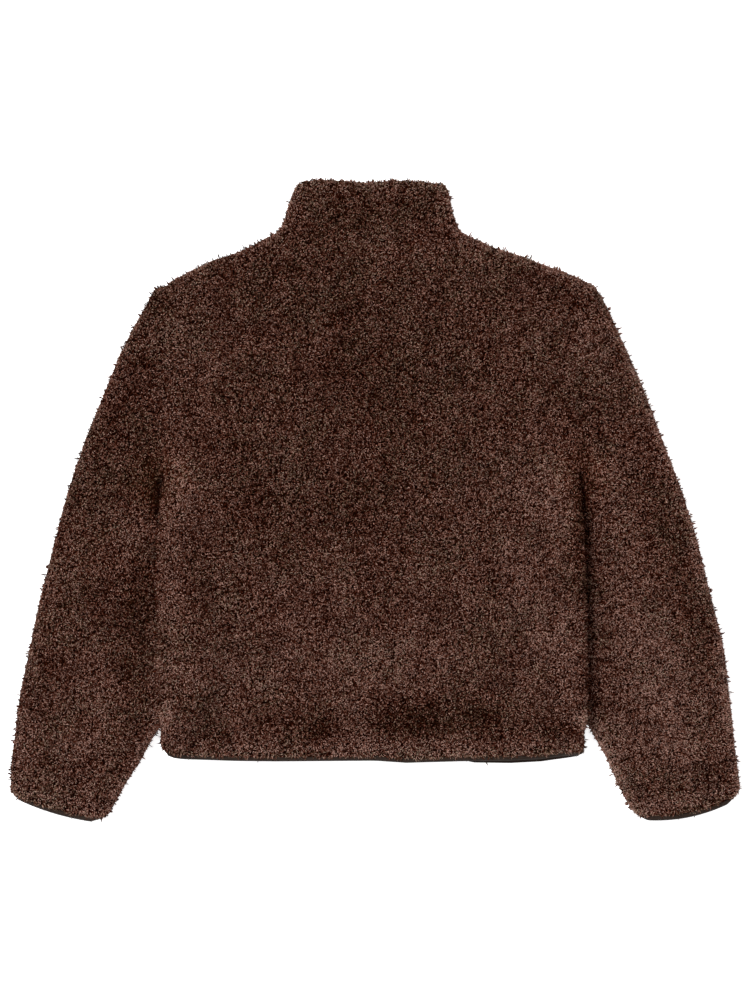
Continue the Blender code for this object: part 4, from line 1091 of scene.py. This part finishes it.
def zip_pull_tab():
    """A flat tab with an eye for the slider's arch, and grip bars across both faces of its end."""
    tip, half = -TAB_LENGTH, TAB_HALF - TAB_RIM
    side = [(TAB_HALF - 1.6, tip), (TAB_HALF - 0.3, tip + 2.0), (TAB_HALF - 0.7, -12.0)]
    side += [(TAB_HALF, -EYE_LENGTH - 1.5), (TAB_HALF, 0.0), (TAB_HALF - 0.6, HINGE_HALF)]
    top, foot = -HINGE_HALF, -EYE_LENGTH
    inner = [(half - 0.8, foot), (half - 0.3, foot + 0.3), (half, foot + 0.9)]
    inner += [(half, top - 1.8), (half, top - 0.8), (half - 0.5, top)]
    place = (CENTRE_X, SLIDER_Y)
    low, high = HINGE_Z - TAB / 2.0, HINGE_Z + TAB / 2.0
    outer = rings(softened(mirrored(side), 2) + place, low, high, 0.2)
    hole = rings(softened(mirrored(inner), 2) + place, low, high, -0.2)
    parts = [holed(outer, hole)]
    bar = mirrored([(1.7, -0.35), (1.7, 0.35)])
    for y in np.arange(tip + 3.0, tip + 9.6, 1.6):
        for z in (low - 0.12, high - 0.12):
            parts.append(block(bar, 0, (CENTRE_X, SLIDER_Y + y), z, z + 0.24, 0.09))
    return parts


# ---- Stitches

STITCH, STITCH_STEP = 2.3, 3.0  # length of a stitch, and from one to the next


def stitches(grids, row, closed):
    """Stitches in a line on a binding, along a row of its grid: each is a short bar with pointed
    ends, half sunk, that follows the cloth."""
    path, under = grids[0][row], grids[1][row]
    up = (path - under) / np.linalg.norm(path - under, axis=1)[:, None]
    if closed:
        path, up = np.concatenate([path, path[:1]]), np.concatenate([up, up[:1]])
    along = lengths(path)

    def at(values, place):
        return np.stack([np.interp(place, along, values[:, axis]) for axis in range(3)], -1)

    centre = np.arange(STITCH_STEP, along[-1] - STITCH_STEP, STITCH_STEP)
    rows = [(-0.5, 0.0, -0.05), (-0.28, 0.26, 0.1), (0.28, 0.26, 0.1), (0.5, 0.0, -0.05)]
    points = []
    for share, half, proud in rows:
        place = centre + share * STITCH
        middle, out = at(path, place), at(up, place)
        run = at(path, place + 0.2) - at(path, place - 0.2)
        side = np.cross(out, run / np.linalg.norm(run, axis=1)[:, None])
        middle = middle + out * proud
        ways = (side, out, -side, -out) if half else (side,)
        points.append(np.stack([middle + way * half for way in ways], 1))
    points = np.concatenate(points, axis=1)
    faces = []
    for k in range(1, 5):
        after = k % 4 + 1
        faces += [(0, after, k), (9, k + 4, after + 4)]
        faces += [(k, after, after + 4), (k, after + 4, k + 4)]
    faces = outwards(points[0], np.array(faces))
    steps = 10 * np.arange(len(centre))[:, None, None]
    return points.reshape(-1, 3), (faces + steps).reshape(-1, 3)


# ---- Finishes


def fill(tree, node, inputs):
    """What goes into a node's inputs: values, colours or other nodes' outputs."""
    for name, value in inputs.items():
        socket = node.inputs[name]
        if hasattr(value, "is_output"):
            tree.links.new(value, socket)
        else:
            socket.default_value = (*value, 1.0) if hasattr(value, "__len__") else value


def add_node(tree, kind, inputs, **settings):
    """A node with its settings, and with its inputs filled by their names or numbers."""
    made = tree.nodes.new("ShaderNode" + kind)
    for name, value in settings.items():
        setattr(made, name, value)
    fill(tree, made, inputs)
    return made


def sums(tree):
    """A function that adds a Math node to a tree and gives its output."""

    def add(operation, *values):
        return add_node(tree, "Math", dict(enumerate(values)), operation=operation).outputs[0]

    return add


def ramp(tree, value, *stops):
    """Colour picked by a value between stops, each a place and a colour."""
    made = add_node(tree, "ValToRGB", {0: value})
    while len(made.color_ramp.elements) < len(stops):
        made.color_ramp.elements.new(0.5)
    for element, (place, colour) in zip(made.color_ramp.elements, stops):
        element.position, element.color = place, (*colour, 1.0)
    return made.outputs[0]


def spread(tree, value, low, high):
    """A value between low and high as a share from 0 to 1."""
    inputs = {"Value": value, "From Min": low, "From Max": high}
    return add_node(tree, "MapRange", inputs).outputs[0]


def mixed(tree, share, first, second, blending="MIX"):
    """Two colours, mixed or multiplied."""
    inputs = {"Factor": share, "A": first, "B": second}
    made = add_node(tree, "Mix", inputs, data_type="RGBA", blend_type=blending)
    return made.outputs["Result"]


def roughened(tree, vector, scale, detail):
    inputs = {"Vector": vector, "Scale": scale, "Detail": detail}
    return add_node(tree, "TexNoise", inputs).outputs[0]


def effect(name, inputs, outputs):
    """An empty node group with named sockets: its tree, what comes in, and the node that takes
    what goes out."""
    tree = bpy.data.node_groups.new(name, "ShaderNodeTree")
    for way, sockets in (("INPUT", inputs), ("OUTPUT", outputs)):
        for label, kind in sockets.items():
            tree.interface.new_socket(label, in_out=way, socket_type="NodeSocket" + kind)
    return tree, tree.nodes.new("NodeGroupInput").outputs, tree.nodes.new("NodeGroupOutput")


def knit_effect():
    """Rows of knitted loops: ridges across the wale, each cut into loops that slant towards its
    middle, half a loop on from their neighbours."""
    inputs = dict(Vector="Vector", Wale="Float", Course="Float")
    tree, given, told = effect("knit", inputs, dict(Height="Float"))
    add = sums(tree)
    parts = add_node(tree, "SeparateXYZ", {0: given["Vector"]}).outputs
    wale = add("DIVIDE", parts["X"], given["Wale"])
    ridge = add("ABSOLUTE", add("SINE", add("MULTIPLY", wale, np.pi)))
    slant = add("ABSOLUTE", add("SUBTRACT", add("FRACT", wale), 0.5))
    loop = add("ADD", add("DIVIDE", parts["Y"], given["Course"]), slant)
    loop = add("ADD", 0.5, add("MULTIPLY", 0.5, add("SINE", add("MULTIPLY", loop, 2.0 * np.pi))))
    height = add("MULTIPLY", ridge, add("ADD", 0.35, add("MULTIPLY", 0.65, loop)))
    fill(tree, told, {"Height": height})
    return tree


def mottle_effect():
    """Uneven colour: coarse and fine noise together, between a dark and a light colour."""
    inputs = dict(Vector="Vector", Scale="Float", Dark="Color", Light="Color")
    tree, given, told = effect("mottle", inputs, dict(Color="Color", Height="Float"))
    add = sums(tree)
    scales = given["Scale"], add("MULTIPLY", given["Scale"], 11.0)
    coarse, fine = (roughened(tree, given["Vector"], scale, 3.0) for scale in scales)
    height = add("ADD", add("MULTIPLY", coarse, 0.5), add("MULTIPLY", fine, 0.5))
    colour = mixed(tree, spread(tree, height, 0.35, 0.65), given["Dark"], given["Light"])
    fill(tree, told, {"Color": colour, "Height": height})
    return tree


def wear_effect():
    """Rubbed edges: the closeness to an edge, broken up by noise."""
    inputs = dict(Vector="Vector", Edge="Float", Scale="Float", Amount="Float")
    tree, given, told = effect("edge_wear", inputs, dict(Mask="Float"))
    add = sums(tree)
    rough = roughened(tree, given["Vector"], given["Scale"], 4.0)
    level = add("SUBTRACT", 1.75, given["Amount"])
    worn = add("SUBTRACT", add("ADD", given["Edge"], rough), level)
    fill(tree, told, {"Mask": spread(tree, worn, 0.0, 0.12)})
    return tree


def finish_of(name):
    """A new material, its tree and its shader."""
    made = bpy.data.materials.new(name)
    made.use_nodes = True
    return made, made.node_tree, made.node_tree.nodes["Principled BSDF"]


def placed(tree, group, vector, **values):
    """An effect placed in a material, on a vector and with its own values."""
    return add_node(tree, "Group", {"Vector": vector, **values}, node_tree=group).outputs


def mapped(tree, layer):
    return add_node(tree, "UVMap", {}, uv_map=layer).outputs["UV"]


def bumped(tree, shader, height, depth):
    inputs = {"Height": height, "Distance": depth * MM, "Strength": 1.0}
    fill(tree, shader, {"Normal": add_node(tree, "Bump", inputs).outputs[0]})


def strand_finish():
    """Pile fibres: the shade across the UV map picks the colour, and painted shade darkens it
    towards the root, deep in the pile.
    """
    made, tree, shader = finish_of("fleece_strands")
    parts = add_node(tree, "SeparateXYZ", {0: mapped(tree, "OFBake")}).outputs
    colour = ramp(
        tree,
        parts["X"],
        (0.0, (0.008, 0.001, 0.0004)),
        (0.17, (0.045, 0.0100, 0.0045)),
        (0.33, (0.170, 0.072, 0.050)),
        (0.498, (0.400, 0.238, 0.193)),
        (0.502, (0.008, 0.003, 0.001)),
        (0.67, (0.044, 0.0185, 0.0095)),
        (0.83, (0.156, 0.089, 0.058)),
        (1.0, (0.360, 0.250, 0.190)),
    )
    # painted shade: the colour darkens from two thirds of the strand's height down to its root,
    # where the pile around it shades it
    stops = (0.0, (0.06, 0.015, 0.008)), (0.33, (0.35, 0.30, 0.28)), (0.66, (1.0, 1.0, 1.0))
    depth = ramp(tree, parts["Y"], *stops)
    colour = mixed(tree, 1.0, colour, depth, "MULTIPLY")
    fill(tree, shader, {"Base Color": colour, "Roughness": 0.75, "Specular IOR Level": 0.0})
    return made


def cloth_finish(name, knit, mottle, dark, light, loops, roughness, gloss):
    """Knitted or woven cloth: mottled colour with painted shade between the loops, which stand up.
    loops gives the wale, the course and the depth of the loops in millimetres."""
    made, tree, shader = finish_of(name)
    uv = mapped(tree, "cloth")
    colour = placed(tree, mottle, uv, Scale=90.0, Dark=dark, Light=light)["Color"]
    height = placed(tree, knit, uv, Wale=loops[0] * MM, Course=loops[1] * MM)["Height"]
    # painted shade: the colour is darker where the knit's loops sink, between the raised ones
    between = ramp(tree, height, (0.05, (0.45, 0.43, 0.42)), (0.6, (1.0, 1.0, 1.0)))
    colour = mixed(tree, 1.0, colour, between, "MULTIPLY")
    inputs = {"Base Color": colour, "Roughness": roughness, "Specular IOR Level": gloss}
    fill(tree, shader, inputs)
    bumped(tree, shader, height, loops[2])
    return made


def hard_finish(name, mottle, wear, dark, light, bare, amount, roughness, metallic):
    """Moulded or painted pieces: mottled colour, with a barer one where the edges are rubbed.
    roughness gives its least and its greatest value."""
    made, tree, shader = finish_of(name)
    place = add_node(tree, "TexCoord", {}).outputs["Object"]
    edge = add_node(tree, "SeparateXYZ", {0: mapped(tree, "edge")}).outputs["X"]
    base = placed(tree, mottle, place, Scale=160.0, Dark=dark, Light=light)
    mask = placed(tree, wear, place, Edge=edge, Scale=900.0, Amount=amount)["Mask"]
    inputs = {"Value": base["Height"], "To Min": roughness[0], "To Max": roughness[1]}
    rough = add_node(tree, "MapRange", inputs).outputs[0]
    colour = mixed(tree, mask, base["Color"], bare)
    fill(tree, shader, {"Base Color": colour, "Roughness": rough})
    bumped(tree, shader, base["Height"], 0.04)
    if metallic:
        fill(tree, shader, {"Metallic": mask})
    return made


def stage_finish():
    """White floor, lit a little by itself so that soft shadows stay pale."""
    made, tree, shader = finish_of("floor")
    fill(tree, shader, {"Base Color": (0.93, 0.93, 0.93), "Roughness": 0.9})
    fill(tree, shader, {"Emission Color": (1.0, 1.0, 1.0), "Emission Strength": 0.7})
    return made


# ---- Stage, in metres

FLOOR_HALF = 20.0
KEY_PLACE, KEY_SIZE, KEY_POWER = (-3.0, 2.6, 4.4), 3.0, 430.0
EYE = (-0.0001, 0.00115, 2.7241)  # over the middle of the photo's outline
SENSOR, FOCAL_LENGTH = 36.0, 85.0  # millimetres


# ---- The jacket

FIRST_SEED = 40  # of the panels' random draws

# ---- Looks of each cloth: dark and light colour, loops, roughness and gloss
CLOTHS = {
    # the backing's own dark brown is made near black as painted shade for the deep gaps between the
    # tufts, where it mostly shows
    "fleece_backing_and_gap_shade":
        ((0.005, 0.0008, 0.0003), (0.018, 0.005, 0.002), (1.6, 1.4, 0.5), 0.95, 0.0),
    "binding_knit":
        ((0.022, 0.013, 0.0095), (0.038, 0.024, 0.0175), (0.9, 0.7, 0.12), 0.7, 0.1),
    "thread":
        ((0.015, 0.009, 0.0065), (0.027, 0.017, 0.0125), (0.5, 0.5, 0.05), 0.6, 0.15),
    "tape_weave":
        ((0.020, 0.012, 0.009), (0.036, 0.022, 0.018), (0.6, 0.45, 0.12), 0.8, 0.25),
}

# ---- and of the zip's hard pieces: dark, light and bare colour, wear, roughness, metal or not
HARD = {
    "teeth_plastic": (
        (0.026, 0.017, 0.014), (0.038, 0.026, 0.022), (0.070, 0.052, 0.046),
        0.05, (0.32, 0.50), False,
    ),
    "zip_enamel": (
        (0.040, 0.028, 0.024), (0.058, 0.042, 0.036), (0.42, 0.40, 0.37),
        0.16, (0.25, 0.45), True,
    ),
}

# ---- Each panel's flat size and area in metres, and what it rests on
PANELS = {
    "back": (
        (0.50, 0.61), 0.285,
        ["front_left_cloth", "front_right_cloth", "sleeve_left_cloth", "sleeve_right_cloth"],
    ),
    "front_left": ((0.246, 0.60), 0.140, ["floor"]),
    "front_right": ((0.243, 0.60), 0.138, ["floor"]),
    "sleeve_left": ((0.42, 0.50), 0.138, ["floor"]),
    "sleeve_right": ((0.43, 0.53), 0.150, ["floor"]),
    "collar": ((0.40, 0.10), 0.0315, ["floor"]),
}


def panel(name):
    """Grids of a panel, whether they close round, and its free edge on the plan."""
    part, _, side = name.partition("_")
    if part == "sleeve":
        right = int(side == "right")
        return sleeve_grids(right), True, sleeve_plan(right)[-1]
    if part == "collar":
        return collar_grids(), False, collar_plan("back")[-1]
    return body_panel(side or "back"), False, body_plan(side or "back")[0]


def dress_panel(name, seed, look, knit):
    """A panel's knitted backing, with its pile in layers on the outer side."""
    grids, closed, edge = panel(name)
    base = shell(name + "_cloth", [backing(grids), grids[1]], knit, "fleece", closed)
    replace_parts(base, name)
    ring = (BODY_FOLDS[0], ARMHOLE[0][1:], SHOULDER_LINE, ARMHOLE[1][1:], BODY_FOLDS[1][::-1])
    ring = np.concatenate(ring)

    def shown(root, up):
        """The upper side, but not what the body hides of a sleeve."""
        share = np.where(up[:, 2] > SHOWN_ABOVE, 1.0, 0.0)
        if closed:
            plan = root[:, :2]
            hidden = inside(plan, ring) & (distance(plan, *BODY_FOLDS[:2]) > HIDDEN_PAST)
            share = np.where(hidden, 0.0, share)
        return share

    def under(root, up):
        return np.where(up[:, 2] > SHOWN_ABOVE, 0.0, 1.0)

    def around(root, up):
        """The folds, and more of them near an armpit and the ends of the free edge."""
        near = gap_to(root[:, :2], ARMPITS) < ARMPIT_REACH
        near |= gap_to(root[:, :2], edge[[0, -1]]) < CORNER_REACH
        share = np.where(near, 1.0, 0.8 * shown(root, up))
        return np.where(np.abs(up[:, 2]) < np.where(near, 0.85, 0.7), share, 0.0)

    rng = np.random.default_rng(seed)
    full = [np.concatenate([grid, grid[:, :1]], axis=1) if closed else grid for grid in grids]
    keeps = {"edge_tufts": around, "pressed_pile": under}
    fur = []
    for label, row in KINDS.items():
        kind = dict(zip(WORDS, row))
        root, top, up = roots(full, kind["density"], keeps.get(label, shown), rng)
        if len(root):
            plan = root[:, :2]
            points = strands(root, top, up, combed(plan, edge), kind, rng)
            shade = shades(plan, up, edge, kind["low"], kind["high"], rng)
            fur += pile(f"{name}_{label}", points, shade, look)


def dress_bindings(knit, thread):
    """Elastic bindings round the hem and the cuffs, each with a line of stitches near its seam."""
    for name, grids, closed, flat in (
        ("hem_binding", hem_band_grids(), False, (0.97, 0.0115)),
        ("cuff_binding_left", cuff_grids(0), True, (0.232, 0.0100)),
        ("cuff_binding_right", cuff_grids(1), True, (0.256, 0.0100)),
    ):
        band = shell(name + "_knit", grids, knit, "binding", closed)
        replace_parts(band, name)
        points, faces = stitches(grids, 2, closed)
        uv = {"cloth": points[faces][..., :2] * MM}
        sewn = piece(name + "_stitches", points, faces, thread, "binding", uv)


def dress_zip(weave, plastic, enamel):
    for way, side in ((-1.0, "left"), (1.0, "right")):
        tape = shell(f"zip_tape_{side}_weave", zip_tape_grids(way), weave, "zip_tape")
        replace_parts(tape, "zip_tape_" + side)
    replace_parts(joined("zip_teeth", zip_teeth(), plastic, "zip_teeth"), "zip_chain")
    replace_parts(joined("zip_box_moulded", zip_box(), plastic, "zip_teeth"), "zip_box")
    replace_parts(joined("zip_slider_cast", zip_slider(), enamel, "zip_metal"), "zip_slider")
    tab = joined("zip_pull_tab_cast", zip_pull_tab(), enamel, "zip_metal", body="pull_tab")
    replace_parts(tab, "zip_pull_tab")


def dress():
    knit, mottle, wear = knit_effect(), mottle_effect(), wear_effect()
    strand_look = strand_finish()
    cloths = [cloth_finish(name, knit, mottle, *look) for name, look in CLOTHS.items()]
    backing_and_gap_shade_look, binding_look, thread_look, tape_look = cloths
    plastic, enamel = (hard_finish(name, mottle, wear, *look) for name, look in HARD.items())
    for seed, name in enumerate(PANELS, start=FIRST_SEED):
        dress_panel(name, seed, strand_look, backing_and_gap_shade_look)
    dress_bindings(binding_look, thread_look)
    dress_zip(tape_look, plastic, enamel)


def stage():
    """A white floor, a soft key light from the upper left, and white light all round."""
    half = FLOOR_HALF
    mesh = bpy.data.meshes.new("floor")
    corners = [(-half, -half, 0), (half, -half, 0), (half, half, 0), (-half, half, 0)]
    mesh.from_pydata(corners, [], [(0, 1, 2, 3)])
    mesh.materials.append(stage_finish())
    lamp = bpy.data.lights.new("key", "AREA")
    lamp.size, lamp.energy = KEY_SIZE, KEY_POWER
    lens = bpy.data.cameras.new("camera")
    lens.sensor_fit, lens.lens = "VERTICAL", FOCAL_LENGTH
    lens.sensor_height = lens.sensor_width = SENSOR
    scene = bpy.context.scene
    floor, key, camera = (bpy.data.objects.new(data.name, data) for data in (mesh, lamp, lens))
    for made in (floor, key, camera):
        scene.collection.objects.link(made)
    key.location = KEY_PLACE
    key.rotation_euler = Vector(KEY_PLACE).to_track_quat("Z", "Y").to_euler()
    camera.location = EYE
    scene.camera = camera
    scene.world = bpy.data.worlds.new("studio")
    scene.world.use_nodes = True
    tree = scene.world.node_tree
    fill(tree, tree.nodes["Background"], {"Color": (1.0, 1.0, 1.0), "Strength": 0.7})
    scene.view_settings.view_transform = "Standard"


dress()
stage()
